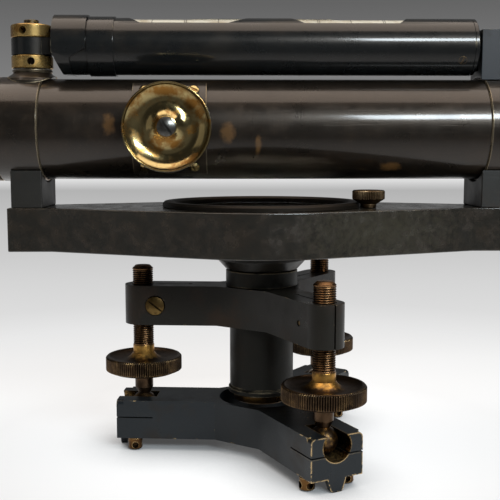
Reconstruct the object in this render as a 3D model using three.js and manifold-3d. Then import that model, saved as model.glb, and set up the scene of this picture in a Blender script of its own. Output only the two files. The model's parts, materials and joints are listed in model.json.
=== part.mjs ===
// Surveyor's dumpy level with compass stage and three-screw base
// Units are millimetres, +Z up, the telescope lies along X, the floor is Z = 0.
import * as THREE from "three";
import { mergeVertices } from "three/addons/utils/BufferGeometryUtils.js";
import Module from "manifold-3d";

const wasm = await Module();
wasm.setup();

// Clearances shared by neighbouring pieces
const seatGap = 0.3;
const slideGap = 0.25;
const faceGap = 0.1;
const overrun = 1.0;
const weld = 1e-4;

// Round quality
const fine = 36;
const medium = 24;
const coarse = 12;
const drill = 8;

// Directions of the three arms, and the circle that their screws stand on
const armAngles = [175.5, 295.5, 55.5];
const screwCircle = 55.2;

// Levelling screw: ball, knurled head, bare thread
const levelForm = {
  ballRadius: 6.1, ballSteps: 9, neckShare: 0.66, neckDrop: 8.4, headRise: 15.6, headBevel: 1.3,
  headSide: 5.7,
  headCrown: 0.7, dishDepth: 1.9, dishStep: 0.5, flareRise: 2.6, flareHeight: 2.8, threadLead: 0.6,
  bareThread: 15.7,
  tipRise: 9.5, domeHeight: 2.2, domeStep: 0.8, lowerFlareDrop: 0.6, lowerFlareHeight: 0.8,
  thread: 4.78, domeMidRadius: 3.4, neckRadius: 4.3, flareRadius: 5.6, dishInner: 8.6, dishWall: 2.7,
  rimWall: 0.9,
  rimEdge: 0.64, radius: 17.64, baseInset: 3.04, lowerNeck: 4.2, lowerFlare: 5.2,
};

// Lower plate on its feet, with a ball socket at each arm's end
const foot = { height: 5.7, halfTop: 4.4, halfBottom: 2.9, depth: 2.8, rise: 8, round: 0.9 };
const plateForm = {
  thickness: 17.7, halfWidth: 12.2, flat: 21, hole: 19.6, endLand: 10.8, socketDrop: 4.6, socketRoom: 0.4,
  socketLead: 6.6, lipRound: 2, lipLength: 3.2, slitDrop: 3.3, slitWidth: 0.6, slitInset: 0.8,
};
const plateTop = foot.height + plateForm.thickness;
const socketZ = plateTop - plateForm.socketDrop;
const socketStart = screwCircle - plateForm.socketLead;
const plate = {
  ...plateForm, bottom: foot.height, top: plateTop, end: screwCircle + plateForm.endLand,
  socketZ, socketRadius: levelForm.ballRadius + plateForm.socketRoom, socketStart,
  lipStart: screwCircle + plateForm.endLand - plateForm.lipLength,
  slitZ: socketZ - plateForm.slitDrop, slitStart: socketStart + plateForm.slitInset,
};
const frictionForm = {
  endInset: 8, sideInset: 2.9, shank: 1.25, hole: 1.55, topDrop: 2.8, headRadius: 3.3, headHeight: 5.3,
  edge: 0.5,
  headHole: 1, holeRise: 2.1, holeEnd: 1,
};
const frictionHeadTop = plate.bottom - faceGap;
const frictionHeadBottom = frictionHeadTop - frictionForm.headHeight;
const frictionTop = plate.top - frictionForm.topDrop;
const frictionScrew = {
  ...frictionForm, reach: plate.end - frictionForm.endInset, side: plate.halfWidth - frictionForm.sideInset,
  top: frictionTop, headTop: frictionHeadTop, headBottom: frictionHeadBottom,
  holeZ: frictionHeadBottom + frictionForm.holeRise, holeTop: frictionTop + frictionForm.holeEnd,
};

// Heights up the levelling screw, and the tribrach on its thread
const headBase = socketZ + levelForm.headRise;
const headSide = headBase + levelForm.headBevel;
const headCrown = headSide + levelForm.headSide;
const headTop = headCrown + levelForm.headCrown;
const dishFloor = headTop - levelForm.dishDepth;
const flareTop = dishFloor + levelForm.flareRise;
const neckTop = flareTop + levelForm.flareHeight;
const tribrachForm = {
  height: 18.1, halfWidth: 8.2, flat: 17.2, slitWidth: 0.7, slitLength: 22.2, slitHole: 1.1, endSteps: 14,
  threadRoom: 0.32,
};
const tribrachBottom = headTop + levelForm.bareThread;
const tribrachTop = tribrachBottom + tribrachForm.height;
const screwTip = tribrachTop + levelForm.tipRise;
const screwDome = screwTip - levelForm.domeHeight;
const rimInner = levelForm.radius - levelForm.rimEdge - levelForm.rimWall;
const lowerFlareZ = headBase - levelForm.lowerFlareDrop;
const levelScrew = {
  ...levelForm, base: headBase, side: headSide, crown: headCrown, rimTop: headTop, dishFloor,
  dishMidZ: dishFloor + levelForm.dishStep, flareTop, neckTop, threadStart: neckTop + levelForm.threadLead,
  tip: screwTip, domeStart: screwDome, domeMid: screwTip - levelForm.domeStep,
  rimOuter: levelForm.radius - levelForm.rimEdge, rimInner, dishMid: rimInner - levelForm.dishWall,
  baseRadius: levelForm.radius - levelForm.baseInset, lowerFlareZ,
  lowerNeckTop: lowerFlareZ - levelForm.lowerFlareHeight,
};

// Vertical axis: the socket hangs in the tribrach and the spindle turns in the socket
const spindleForm = {
  runGap: 0.4, coneHeight: 4.2, flangeHeight: 4.78, flangeRadius: 20.4, coneFoot: 16.6, journalTop: 10.9,
  journalBottom: 7.9, journalRise: 0.7, spigot: 8, spigotLength: 5.42, stubRadius: 4, stubInset: 1.2,
};
const socketForm = {
  topDrop: 0.3, hang: 31.3, wall: 3.46, ringStep: 0.64, ringHeight: 2.1, grooveHeight: 0.8,
  grooveDepth: 0.46,
};
const socketRadius = spindleForm.journalTop + seatGap + socketForm.wall;
const socketBottom = tribrachBottom - socketForm.hang;
const socketRingTop = socketBottom + socketForm.ringHeight;
const socket = {
  ...socketForm, radius: socketRadius, bottom: socketBottom, top: tribrachTop - socketForm.topDrop,
  boreTop: spindleForm.journalTop + seatGap, boreBottom: spindleForm.journalBottom + seatGap,
  ringRadius: socketRadius + socketForm.ringStep, ringTop: socketRingTop,
  grooveTop: socketRingTop + socketForm.grooveHeight, grooveRadius: socketRadius - socketForm.grooveDepth,
};
const tribrach = {
  ...tribrachForm, bottom: tribrachBottom, top: tribrachTop, bore: socketRadius + seatGap,
  screwHole: levelForm.thread + tribrachForm.threadRoom, slitStart: screwCircle - tribrachForm.slitLength,
};
const socketCapForm = { lift: 0.5, height: 7.3, radiusStep: 1.74, edge: 0.5 };
const socketCapBottom = socket.top + socketCapForm.lift;
const socketCap = {
  edge: socketCapForm.edge, radius: socketRadius + socketCapForm.radiusStep, bottom: socketCapBottom,
  top: socketCapBottom + socketCapForm.height,
};
const endNutForm = { radius: 12.9, height: 3.6, edge: 0.6 };
const endNutTop = socketBottom - seatGap;
const endNut = {
  ...endNutForm, top: endNutTop, bottom: endNutTop - endNutForm.height,
  bore: spindleForm.stubRadius + seatGap,
};
const flangeBottom = socketCap.top + spindleForm.runGap;
const coneTop = flangeBottom + spindleForm.coneHeight;
const flangeTop = coneTop + spindleForm.flangeHeight;
const spindle = {
  ...spindleForm, flangeBottom, coneTop, flangeTop, bottom: socketBottom + spindleForm.journalRise,
  spigotTop: flangeTop + spindleForm.spigotLength, stubBottom: endNut.bottom + spindleForm.stubInset,
};
const clampScrewForm = {
  reachInset: 6.9, shank: 1.05, hole: 1.3, headRadius: 4.3, seatRadius: 4.6, seatDepth: 1.4,
  proud: 0.6, dome: 0.5,
  slotWidth: 0.7, slotDepth: 0.7, slotTurn: 0.7, tipShort: 0.4, innerShare: 0.6,
};
const clampScrew = { ...clampScrewForm, reach: screwCircle - clampScrewForm.reachInset };

// Compass stage on the spindle's flange, and the posts that stand on it
const postForm = { inner: 96.5, thickness: 13.6, half: 15 };
const post = { ...postForm, outer: postForm.inner + postForm.thickness };
const stageForm = {
  thickness: 19.15, circle: 51, padInset: 2.7, padLand: 1.8, padStep: 0.6, arcSteps: 11, recessRadius: 43,
  recessDepth: 12.03,
};
const stageBottom = flangeTop + faceGap;
const stageTop = stageBottom + stageForm.thickness;
const stage = {
  ...stageForm, top: stageTop, padStart: post.inner - stageForm.padInset,
  padEnd: post.outer + stageForm.padLand,
  padHalf: post.half + stageForm.padStep, recessFloor: stageTop - stageForm.recessDepth,
  spindleHole: spindle.spigot + seatGap,
};

// Compass in the stage
const bezelForm = { overlap: 2, inset: 3.4, height: 2.5, edge: 0.9 };
const bezel = {
  ...bezelForm, radius: stage.recessRadius + bezelForm.overlap, inner: stage.recessRadius - bezelForm.inset,
};
const glassForm = { room: 0.4, drop: 1.93, thickness: 1.6 };
const glass = {
  ...glassForm, radius: stage.recessRadius - glassForm.room, bottom: stage.top - glassForm.drop,
};
const dialForm = { room: 0.4, bore: 2, floor: 1.5, ringWidth: 9, ringRise: 4.8 };
const dialRadius = stage.recessRadius - dialForm.room;
const dial = {
  ...dialForm, radius: dialRadius, ringInner: dialRadius - dialForm.ringWidth,
  ringTop: stage.recessFloor + dialForm.ringRise,
};
const pivotForm = {
  baseRadius: 1.6, stem: 0.9, tipRadius: 0.15, baseLift: 0.2, baseHeight: 2, stemLength: 2, coneLength: 1.5,
};
const pivotBase = stage.recessFloor + pivotForm.baseLift;
const pivotShoulder = pivotBase + pivotForm.baseHeight;
const pivotStemTop = pivotShoulder + pivotForm.stemLength;
const pivot = {
  ...pivotForm, base: pivotBase, shoulder: pivotShoulder, stemTop: pivotStemTop,
  tip: pivotStemTop + pivotForm.coneLength,
};
const needleForm = {
  tipRoom: 2.1, width: 3.2, hang: 0.3, thickness: 0.9, capRadius: 2.9, capHeight: 1.8, cupRadius: 1.2,
  cupRoom: 0.25,
  tipShare: 0.12, shoulderShare: 0.35,
};
const needle = {
  ...needleForm, half: dial.ringInner - needleForm.tipRoom, bottom: pivot.tip - needleForm.hang,
  cupTop: pivot.tip + needleForm.cupRoom,
};
const lifterForm = {
  travel: 1.8, thickness: 0.8, ringRadius: 4.6, ringBore: 2.6, endRoom: 1, halfWidth: 1.4,
};
const lifter = {
  ...lifterForm, bottom: needle.bottom - lifterForm.travel - lifterForm.thickness,
  reach: dial.ringInner - lifterForm.endRoom,
};
const clampKnobForm = {
  turn: -0.3327, land: 5.986, shaft: 1.8, hole: 2.1, shaftDepth: 7.23, neck: 3.5, neckRise: 1.77,
  flareRise: 2.3,
  rimHeight: 3.8, radius: 7.1, edge: 0.5, dishWall: 1.7, dishDepth: 0.5,
};
const clampKnobReach = stage.recessRadius + clampKnobForm.land;
const clampNeckTop = stage.top + clampKnobForm.neckRise;
const clampFlareTop = clampNeckTop + clampKnobForm.flareRise;
const clampKnob = {
  ...clampKnobForm, x: clampKnobReach * Math.cos(clampKnobForm.turn),
  y: clampKnobReach * Math.sin(clampKnobForm.turn),
  shaftBottom: stage.top - clampKnobForm.shaftDepth, neckTop: clampNeckTop, flareTop: clampFlareTop,
  top: clampFlareTop + clampKnobForm.rimHeight, dishRadius: clampKnobForm.radius - clampKnobForm.dishWall,
};

// Telescope: the tube in its two collars
const tubeForm = {
  radius: 22.25, wall: 1.65, eyeOverhang: 4.5, objectOverhang: 16.4, endRingLength: 5, endRingStep: 1.95,
};
const collarForm = { thickness: 0.85, length: 19.6, eyeShift: 0.2, objectShift: 1.5, edge: 0.5 };
const collar = {
  ...collarForm, radius: tubeForm.radius + collarForm.thickness, eyeInner: collarForm.eyeShift - post.inner,
  objectInner: post.inner + collarForm.objectShift,
};
const tube = {
  ...tubeForm, bore: tubeForm.radius - tubeForm.wall,
  eyeEnd: collar.eyeInner - collar.length - tubeForm.eyeOverhang,
  objectEnd: collar.objectInner + collar.length + tubeForm.objectOverhang,
  endRingRadius: tubeForm.radius + tubeForm.endRingStep,
};
const postGap = 11.47;
const axisZ = stage.top + postGap + collar.radius;

// Focusing pinion and rack, the draw tube that they move, and the saddle
const pinionForm = {
  x: -40.4, pitchRadius: 4, addendum: 0.5, dedendum: 0.8, teeth: 12, journalRadius: 2.7,
  faceWidth: 4.4, faceRoom: 2.4, slotRoom: 0.6, toothHalfAngle: 0.1, baseHalfAngle: 0.115,
  tipHalfAngle: 0.039,
};
const rackForm = {
  rearLength: 49.6, frontLength: 10.4, sideInset: 0.2, outerInset: 0.4, depth: 9.5, tipHalf: 0.218,
  rootHalf: 0.66,
};
const drawForm = { wall: 1.3, slotRoom: 2, rearLand: 3, slotSide: 1.1, seatShort: 4.6 };
const drawRadius = tube.bore - seatGap;
const drawBore = drawRadius - drawForm.wall;
const slotHalf = pinionForm.pitchRadius + pinionForm.addendum + drawForm.slotSide;
const pinionFaceEnd = drawBore - pinionForm.faceRoom;
const rackBar = {
  ...rackForm, start: pinionForm.x - rackForm.rearLength, end: pinionForm.x + rackForm.frontLength,
  inner: pinionFaceEnd - pinionForm.faceWidth + rackForm.sideInset,
  outer: pinionFaceEnd - rackForm.outerInset,
};
const cellForm = {
  stickOut: 30.4, stopLength: 8.6, length: 30, rimLength: 6.5, lipLength: 2.6, wall: 2.3, rimStep: 1.8,
  seatWall: 1,
  stopWidth: 3, lipWidth: 1.2, edge: 0.6,
};
const cellStart = tube.objectEnd + cellForm.stickOut;
const cellRadius = drawRadius + cellForm.wall;
const cellEnd = cellStart + cellForm.length;
const cell = {
  ...cellForm, start: cellStart, shoulder: cellStart + cellForm.stopLength, end: cellEnd,
  rimStart: cellEnd - cellForm.rimLength, radius: cellRadius, rimRadius: cellRadius + cellForm.rimStep,
  lensSeat: cellRadius - cellForm.seatWall, stopRadius: cellRadius - cellForm.seatWall - cellForm.stopWidth,
  mouth: cellRadius - cellForm.seatWall - cellForm.lipWidth, lip: cellEnd - cellForm.lipLength,
};
const drawTube = {
  ...drawForm, radius: drawRadius, bore: drawBore, slotHalf, slotRear: rackBar.start - drawForm.slotRoom,
  slotFront: rackBar.end + drawForm.slotRoom, rear: rackBar.start - drawForm.slotRoom - drawForm.rearLand,
  front: cell.shoulder - drawForm.seatShort,
};
const lensForm = { room: 0.4, lift: 1.5, edgeLength: 3.4, bulge: 1.7, steps: 5 };
const lens = { ...lensForm, radius: cell.lensSeat - lensForm.room, rear: cell.shoulder + lensForm.lift };
const saddleForm = {
  halfLength: 16, thickness: 1.75, heightShare: 0.8167, bossRadius: 9.2, bossRise: 3.6, screwInset: 5.6,
  screwShare: 0.675,
};
const saddleRadius = tube.radius + saddleForm.thickness;
const saddle = {
  ...saddleForm, radius: saddleRadius, halfHeight: saddleRadius * saddleForm.heightShare,
  bossEnd: saddleRadius + saddleForm.bossRise, screwX: saddleForm.halfLength - saddleForm.screwInset,
  screwZ: saddleRadius * saddleForm.screwShare,
};
const saddleScrew = {
  headRadius: 2.5, headHeight: 1.3, shank: 0.95, hole: 1.2, slotWidth: 0.6, slotDepth: 0.6,
  end: tube.bore + seatGap,
};
const knobForm = {
  backGap: 0.4, radius: 18.6, hubRadius: 9, hubStep: 1.2, backShoulder: 17.2, backRise: 2.6, sideStart: 3.6,
  sideEnd: 9.2, crown: 10, front: 10.3, crownInset: 0.6, rimWidth: 1.4, lipWidth: 1, lipDepth: 9.5,
  grooveWidth: 2, grooveDepth: 6.9, domeStep: 1.2, domeStart: 6.8, domeMidRadius: 9.8, domeMid: 8.5,
  domeInner: 6.4,
  domeTop: 9.5, seatRadius: 4.3, seat: 9.7, shaftDepth: 6.2,
};
const knobCrown = knobForm.radius - knobForm.crownInset;
const knobRim = knobCrown - knobForm.rimWidth;
const knobLip = knobRim - knobForm.lipWidth;
const knobGroove = knobLip - knobForm.grooveWidth;
const knob = {
  ...knobForm, back: saddle.bossEnd + knobForm.backGap, bore: pinionForm.journalRadius + seatGap,
  crownRadius: knobCrown, rimInner: knobRim, lipInner: knobLip, grooveRadius: knobGroove,
  domeRadius: knobGroove - knobForm.domeStep,
};
const pinion = {
  ...pinionForm, faceStart: pinionFaceEnd - pinionForm.faceWidth, faceEnd: pinionFaceEnd,
  holeRadius: slotHalf + pinionForm.slotRoom, shaftEnd: knob.back + knob.shaftDepth,
};
const knobScrew = {
  radius: 3.9, seatLift: 0.1, edge: 0.6, dome: 1.5, innerRadius: 2.4, shank: 2.5, shankStart: 6.6,
  slotWidth: 0.9, slotDepth: 0.8, slotTurn: -0.62,
};

// Eye end: fitting, cross-hair ring and eyepiece
const eyepieceForm = { radius: 12.1, wall: 1.5, frontShort: 2.5, stickOut: 38.6 };
const eyeForm = {
  ringShort: 0.1, ringLand: 1.6, wallStep: 1.4, wallLength: 2.4, tubeRoom: 0.25, reticleRoom: 0.85,
  bossWall: 3,
  reticleDepth: 13.1, bossLength: 18.5, edge: 0.5,
};
const eyeRingRadius = collar.radius - eyeForm.ringShort;
const eyeRingEnd = tube.eyeEnd - eyeForm.ringLand;
const slideBore = eyepieceForm.radius + slideGap;
const reticleBore = slideBore + eyeForm.reticleRoom;
const reticleEnd = tube.eyeEnd - eyeForm.reticleDepth;
const eyeEnd = {
  ...eyeForm, start: collar.eyeInner - collar.length - seatGap, ringEnd: eyeRingEnd,
  wallEnd: eyeRingEnd - eyeForm.wallLength, bossEnd: reticleEnd - eyeForm.bossLength, reticleEnd,
  ringRadius: eyeRingRadius, wallRadius: eyeRingRadius - eyeForm.wallStep,
  bossRadius: reticleBore + eyeForm.bossWall,
  tubeSeat: tube.radius + eyeForm.tubeRoom, reticleBore, slideBore,
};
const reticleForm = { inset: 7.8, halfLength: 1.75, room: 1.3, width: 3.3, hole: 1.5 };
const reticleRadius = reticleBore - reticleForm.room;
const reticle = {
  ...reticleForm, x: tube.eyeEnd - reticleForm.inset, radius: reticleRadius,
  bore: reticleRadius - reticleForm.width,
};
const reticleScrewForm = {
  shank: 1.25, reachInset: 1, seatLift: 0.15, headHeight: 4.05, headRadius: 2.8, hole: 0.7, edge: 0.4,
  wallHole: 1.6,
};
const reticleSeat = eyeEnd.bossRadius + reticleScrewForm.seatLift;
const reticleScrew = {
  ...reticleScrewForm, start: reticle.bore + reticleScrewForm.reachInset, seat: reticleSeat,
  headEnd: reticleSeat + reticleScrewForm.headHeight,
};
const eyepiece = {
  ...eyepieceForm, bore: eyepieceForm.radius - eyepieceForm.wall,
  front: reticleEnd - eyepieceForm.frontShort,
  rear: eyeEnd.bossEnd - eyepieceForm.stickOut,
};
const eyeCapForm = {
  overlap: 7.5, wallGap: 0.4, thickness: 3.2, dishDepth: 1.6, wall: 2.25, sight: 4.2, dish: 8.2,
  edge: 0.6,
};
const eyeCapWall = eyepiece.rear - eyeCapForm.wallGap;
const eyeCapBore = eyepiece.radius + slideGap;
const eyeCap = {
  sight: eyeCapForm.sight, dish: eyeCapForm.dish, edge: eyeCapForm.edge,
  start: eyepiece.rear + eyeCapForm.overlap,
  wall: eyeCapWall, rear: eyeCapWall - eyeCapForm.thickness, dishRear: eyeCapWall - eyeCapForm.dishDepth,
  bore: eyeCapBore, radius: eyeCapBore + eyeCapForm.wall,
};
const eyeLensForm = { inset: 0.4, thickness: 3.2, room: 0.3, edge: 0.5 };
const eyeLensRear = eyepiece.rear + eyeLensForm.inset;
const eyeLens = {
  ...eyeLensForm, radius: eyepiece.bore - eyeLensForm.room, rear: eyeLensRear,
  front: eyeLensRear + eyeLensForm.thickness,
};

// Bubble tube above the telescope, from the stud at the eye end to the fork
const casingForm = {
  radius: 12.6, wall: 0.45, lift: 1.6, studRoom: 14.4, forkRoom: 3.7, ringInset: 11.6, ringLength: 11.5,
  ringStep: 0.55,
  windowDrop: 3,
};
const bubbleZ = axisZ + tube.radius + casingForm.lift + casingForm.radius;
const studInset = 5.9;
const studX = -post.inner - studInset;
const forkForm = {
  shift: 0.2, length: 23.3, pinInset: 13.3, halfWidth: 9, rise: 7.15, slotRoom: 0.4, slotDrop: 3.95,
  baseDrop: 11.4,
  shoulder: 3,
};
const forkStart = post.inner + forkForm.shift;
const casingStart = studX + casingForm.studRoom;
const casingRingStart = casingStart + casingForm.ringInset;
const casing = {
  ...casingForm, bore: casingForm.radius - casingForm.wall, start: casingStart,
  end: forkStart - casingForm.forkRoom,
  ringStart: casingRingStart, ringEnd: casingRingStart + casingForm.ringLength,
  ringRadius: casingForm.radius + casingForm.ringStep,
};
const windowShares = [
  { rampStart: 0.158, start: 0.19, end: 0.4033, rampEnd: 0.4536 },
  { rampStart: 0.5547, start: 0.5878, end: 0.8199, rampEnd: 0.842 },
];
const vialForm = { room: 0.25, eyeShort: 4, objectShort: 7, edge: 3, domeInset: 4.9, domeLength: 1.2 };
const vialRadius = casing.bore - vialForm.room;
const vial = {
  ...vialForm, radius: vialRadius, start: casing.start + vialForm.eyeShort,
  end: casing.end - vialForm.objectShort,
  domeRadius: vialRadius - vialForm.domeInset,
};
const eyeBubbleForm = {
  lead: 3.5, ringGap: 0.4, wall: 1, room: 0.3, plugLead: 1.6, cutLength: 4, stepLength: 9,
  cutDrop: 3, stepDrop: 6,
  flatHeight: 1.3, slantTop: 3.6, slantRun: 4.8,
};
const eyeBubbleBore = casing.radius + eyeBubbleForm.room;
const eyeBubbleRadius = eyeBubbleBore + eyeBubbleForm.wall;
const eyeBubbleCap = {
  ...eyeBubbleForm, start: casing.start - eyeBubbleForm.lead, end: casing.ringStart - eyeBubbleForm.ringGap,
  radius: eyeBubbleRadius, bore: eyeBubbleBore, plugStart: casing.start - eyeBubbleForm.plugLead,
  cutEnd: casing.start + eyeBubbleForm.cutLength, stepEnd: casing.start + eyeBubbleForm.stepLength,
  flatDrop: eyeBubbleRadius - eyeBubbleForm.flatHeight,
};
const nut = {
  radius: 9.1, room: 0.35, height: 5.9, edge: 0.5, hole: 1.6, holeDepth: 3.6, holes: 4, topTurn: -0.44,
  lowTurn: 0.04,
};
const lugForm = { radius: 9, drop: 4.05, rise: 3.15, studRoom: 0.5, neckHalf: 7 };
const lug = { ...lugForm, bottom: bubbleZ - lugForm.drop, top: bubbleZ + lugForm.rise };
const studForm = {
  radius: 3.4, bareEnd: 3.4, edge: 0.6, nutGap: 0.4, flangeInset: 0.3, flangeHeight: 0.9, neckInset: 1,
  neckDrop: 1.1,
  flareInset: 0.4, flareDrop: 0.8, skirtStep: 1.1, skirtDrop: 0.9, footStep: 2.9, footDrop: 0.6,
  footDepth: 9.9,
};
const studFlangeTop = lug.bottom - faceGap - nut.height - studForm.nutGap;
const studNeckTop = studFlangeTop - studForm.neckDrop;
const studFlare = studNeckTop - studForm.flareDrop;
const studSkirt = studFlare - studForm.skirtDrop;
const studFoot = studSkirt - studForm.footDrop;
const stud = {
  ...studForm, x: studX, top: lug.top + faceGap + nut.height + studForm.bareEnd, flangeTop: studFlangeTop,
  flangeRadius: nut.radius - studForm.flangeInset, neckRadius: nut.radius - studForm.neckInset,
  neckTop: studNeckTop,
  flareRadius: nut.radius - studForm.flareInset, flare: studFlare,
  skirtRadius: nut.radius + studForm.skirtStep,
  skirt: studSkirt, footRadius: nut.radius + studForm.footStep, foot: studFoot,
  base: studFoot - studForm.footDepth,
};
const objectCapForm = {
  shoulderLength: 1.5, roundLength: 1.1, roundInset: 2.3, plugLength: 5, plugRoom: 0.3,
  tongueHalf: 2.9, tongueRise: 6.4,
};
const objectCapStart = casing.end + faceGap;
const objectCapShoulder = objectCapStart + objectCapForm.shoulderLength;
const objectBubbleCap = {
  ...objectCapForm, start: objectCapStart, shoulder: objectCapShoulder,
  end: objectCapShoulder + objectCapForm.roundLength,
  roundRadius: casing.radius - objectCapForm.roundInset, plugStart: casing.end - objectCapForm.plugLength,
  plugRadius: casing.bore - objectCapForm.plugRoom,
};
const forkSlotBottom = bubbleZ - objectBubbleCap.tongueRise - forkForm.slotDrop;
const fork = {
  ...forkForm, start: forkStart, end: forkStart + forkForm.length, top: bubbleZ + forkForm.rise,
  slotHalf: objectBubbleCap.tongueHalf + forkForm.slotRoom, slotBottom: forkSlotBottom,
  base: forkSlotBottom - forkForm.baseDrop, pinX: forkStart + forkForm.pinInset,
};
const forkPinForm = { radius: 1.7, room: 0.3, endProud: 0.9, headRadius: 2.9, headHeight: 1 };
const forkPin = {
  ...forkPinForm, hole: forkPinForm.radius + forkPinForm.room,
  halfLength: fork.halfWidth + forkPinForm.endProud,
};

// Colours read from the photograph
const paint = {
  bronze: [0x2a2620, 0.75, 0.35], gunmetal: [0x3b3c38, 0.7, 0.45], blueBlack: [0x23272a, 0.7, 0.35],
  plateGrey: [0x3c4245, 0.7, 0.45],
  brass: [0xb08a4a, 0.9, 0.35], wornBrass: [0x8a6a3c, 0.85, 0.4], headBronze: [0x5a4a38, 0.8, 0.4],
  steel: [0x9a9ea3, 0.9, 0.3],
  silver: [0xc9c6ba, 0.6, 0.5], glassTint: [0xdfe9e4, 0, 0.1], vialCream: [0xe6dcc0, 0, 0.2],
};

const group = new THREE.Group();
group.name = "surveyors_level";

// Geometry helpers
function clean(geometry) {
  const bare = geometry.index ? geometry.toNonIndexed() : geometry.clone();
  bare.deleteAttribute("normal");
  bare.deleteAttribute("uv");
  const merged = mergeVertices(bare, weld);
  const index = merged.index.array;
  const kept = [];
  for (let i = 0; i < index.length; i += 3) {
    const [a, b, c] = [index[i], index[i + 1], index[i + 2]];
    if (a !== b && b !== c && c !== a) kept.push(a, b, c);
  }
  merged.setIndex(kept);
  return merged;
}

function solid(geometry) {
  const merged = clean(geometry);
  return new wasm.Manifold(new wasm.Mesh({
    numProp: 3,
    vertProperties: new Float32Array(merged.attributes.position.array),
    triVerts: new Uint32Array(merged.index.array),
  }));
}

function join(first, ...others) {
  return others.reduce((sum, other) => sum.add(other), first);
}

function cut(first, ...others) {
  return others.reduce((rest, other) => rest.subtract(other), first);
}

function geometryOf(body) {
  const mesh = body.getMesh();
  const geometry = new THREE.BufferGeometry();
  const stride = mesh.numProp;
  const count = mesh.vertProperties.length / stride;
  const positions = new Float32Array(count * 3);
  for (let i = 0; i < count; i += 1) {
    for (let k = 0; k < 3; k += 1) positions[i * 3 + k] = mesh.vertProperties[i * stride + k];
  }
  geometry.setAttribute("position", new THREE.BufferAttribute(positions, 3));
  geometry.setIndex(new THREE.BufferAttribute(new Uint32Array(mesh.triVerts), 1));
  geometry.computeVertexNormals();
  return geometry;
}

// A solid turned about Z from [radius, height] points that run anticlockwise
function turned(profile, segments) {
  const points = profile.map(([r, h]) => new THREE.Vector2(r, h));
  points.push(points[0].clone());
  const geometry = new THREE.LatheGeometry(points, segments);
  geometry.rotateX(Math.PI / 2);
  return geometry;
}

// The same, with the height running along +X
function turnedX(profile, segments) {
  return turned(profile, segments).rotateY(Math.PI / 2);
}

// The same, with the height running along -Y, towards the focusing side
function turnedSide(profile, segments) {
  return turned(profile, segments).rotateX(Math.PI / 2);
}

function rod(radius, start, end, segments) {
  return turned([[0, start], [radius, start], [radius, end], [0, end]], segments);
}

function rodX(radius, start, end, segments) {
  return rod(radius, start, end, segments).rotateY(Math.PI / 2);
}

function ringX(inner, outer, start, end, segments) {
  return turnedX([[inner, start], [outer, start], [outer, end], [inner, end]], segments);
}

function block(x0, x1, y0, y1, z0, z1) {
  const geometry = new THREE.BoxGeometry(x1 - x0, y1 - y0, z1 - z0);
  geometry.translate((x0 + x1) / 2, (y0 + y1) / 2, (z0 + z1) / 2);
  return geometry;
}

function extruded(points, bottom, top) {
  const shape = new THREE.Shape(points.map(([x, y]) => new THREE.Vector2(x, y)));
  const geometry = new THREE.ExtrudeGeometry(shape, { depth: top - bottom, bevelEnabled: false });
  geometry.translate(0, 0, bottom);
  return geometry;
}

// An outline in the XZ plane given thickness along Y
function extrudedY(points, y0, y1) {
  return extruded(points, -y1, -y0).rotateX(Math.PI / 2);
}

function place(name, geometry, [color, metalness, roughness], extra = {}) {
  const shown = geometry.attributes.normal ? geometry : clean(geometry);
  shown.computeVertexNormals();
  const material = new THREE.MeshStandardMaterial({ color, metalness, roughness, ...extra });
  const mesh = new THREE.Mesh(shown, material);
  mesh.name = name;
  group.add(mesh);
  return mesh;
}

const halfTurn = Math.PI;
const quarterTurn = Math.PI / 2;
const bothSides = [-1, 1];

function circlePoint(radius, angle) {
  return [radius * Math.cos(angle), radius * Math.sin(angle)];
}

function radians(degrees) {
  return THREE.MathUtils.degToRad(degrees);
}

// A slotted head's slot, cut across the end of a screw that runs along +Z
function slotAcross(width, depth, end, reach, turn) {
  return block(-reach, reach, -width / 2, width / 2, end - depth, end + overrun).rotateZ(turn);
}

// Telescope body
const tubeCentre = (geometry) => geometry.translate(0, 0, axisZ);

const tubeOuter = turnedX([
  [tube.bore, tube.eyeEnd], [tube.radius, tube.eyeEnd], [tube.radius, tube.objectEnd - tube.endRingLength],
  [tube.endRingRadius, tube.objectEnd - tube.endRingLength], [tube.endRingRadius, tube.objectEnd],
  [tube.bore, tube.objectEnd],
], fine);
const pinionHole = rod(pinion.holeRadius, 0, tube.radius + overrun,
  medium).rotateX(quarterTurn).translate(pinion.x, 0, 0);
const saddleScrewTilt = Math.asin(saddle.screwZ / saddle.radius);
const saddleScrewSpots = bothSides.flatMap((alongX) => bothSides.map((alongZ) => ({ alongX, alongZ })));

// A body built along +Z from the telescope axis, turned to one corner of the saddle
function toSaddleCorner(geometry, { alongX, alongZ }) {
  geometry.rotateX(quarterTurn);
  geometry.rotateX(-alongZ * saddleScrewTilt);
  return geometry.translate(pinion.x + alongX * saddle.screwX, 0, 0);
}

const saddleScrewHoles = saddleScrewSpots.map((spot) => solid(
  toSaddleCorner(rod(saddleScrew.hole, tube.bore - overrun, saddle.radius + overrun, drill), spot),
));
const tubeBody = cut(solid(tubeOuter), solid(pinionHole), ...saddleScrewHoles);
place("telescope_tube", tubeCentre(geometryOf(tubeBody)), paint.bronze);

const collarInner = tube.radius + faceGap;
for (const [name, start, end] of [
  ["eye_collar", collar.eyeInner - collar.length, collar.eyeInner],
  ["object_collar", collar.objectInner, collar.objectInner + collar.length],
]) {
  const profile = [
    [collarInner, start], [collar.radius - collar.edge, start], [collar.radius, start + collar.edge],
    [collar.radius, end - collar.edge], [collar.radius - collar.edge, end], [collarInner, end],
  ];
  place(name, tubeCentre(clean(turnedX(profile, fine))), paint.bronze);
}

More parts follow.
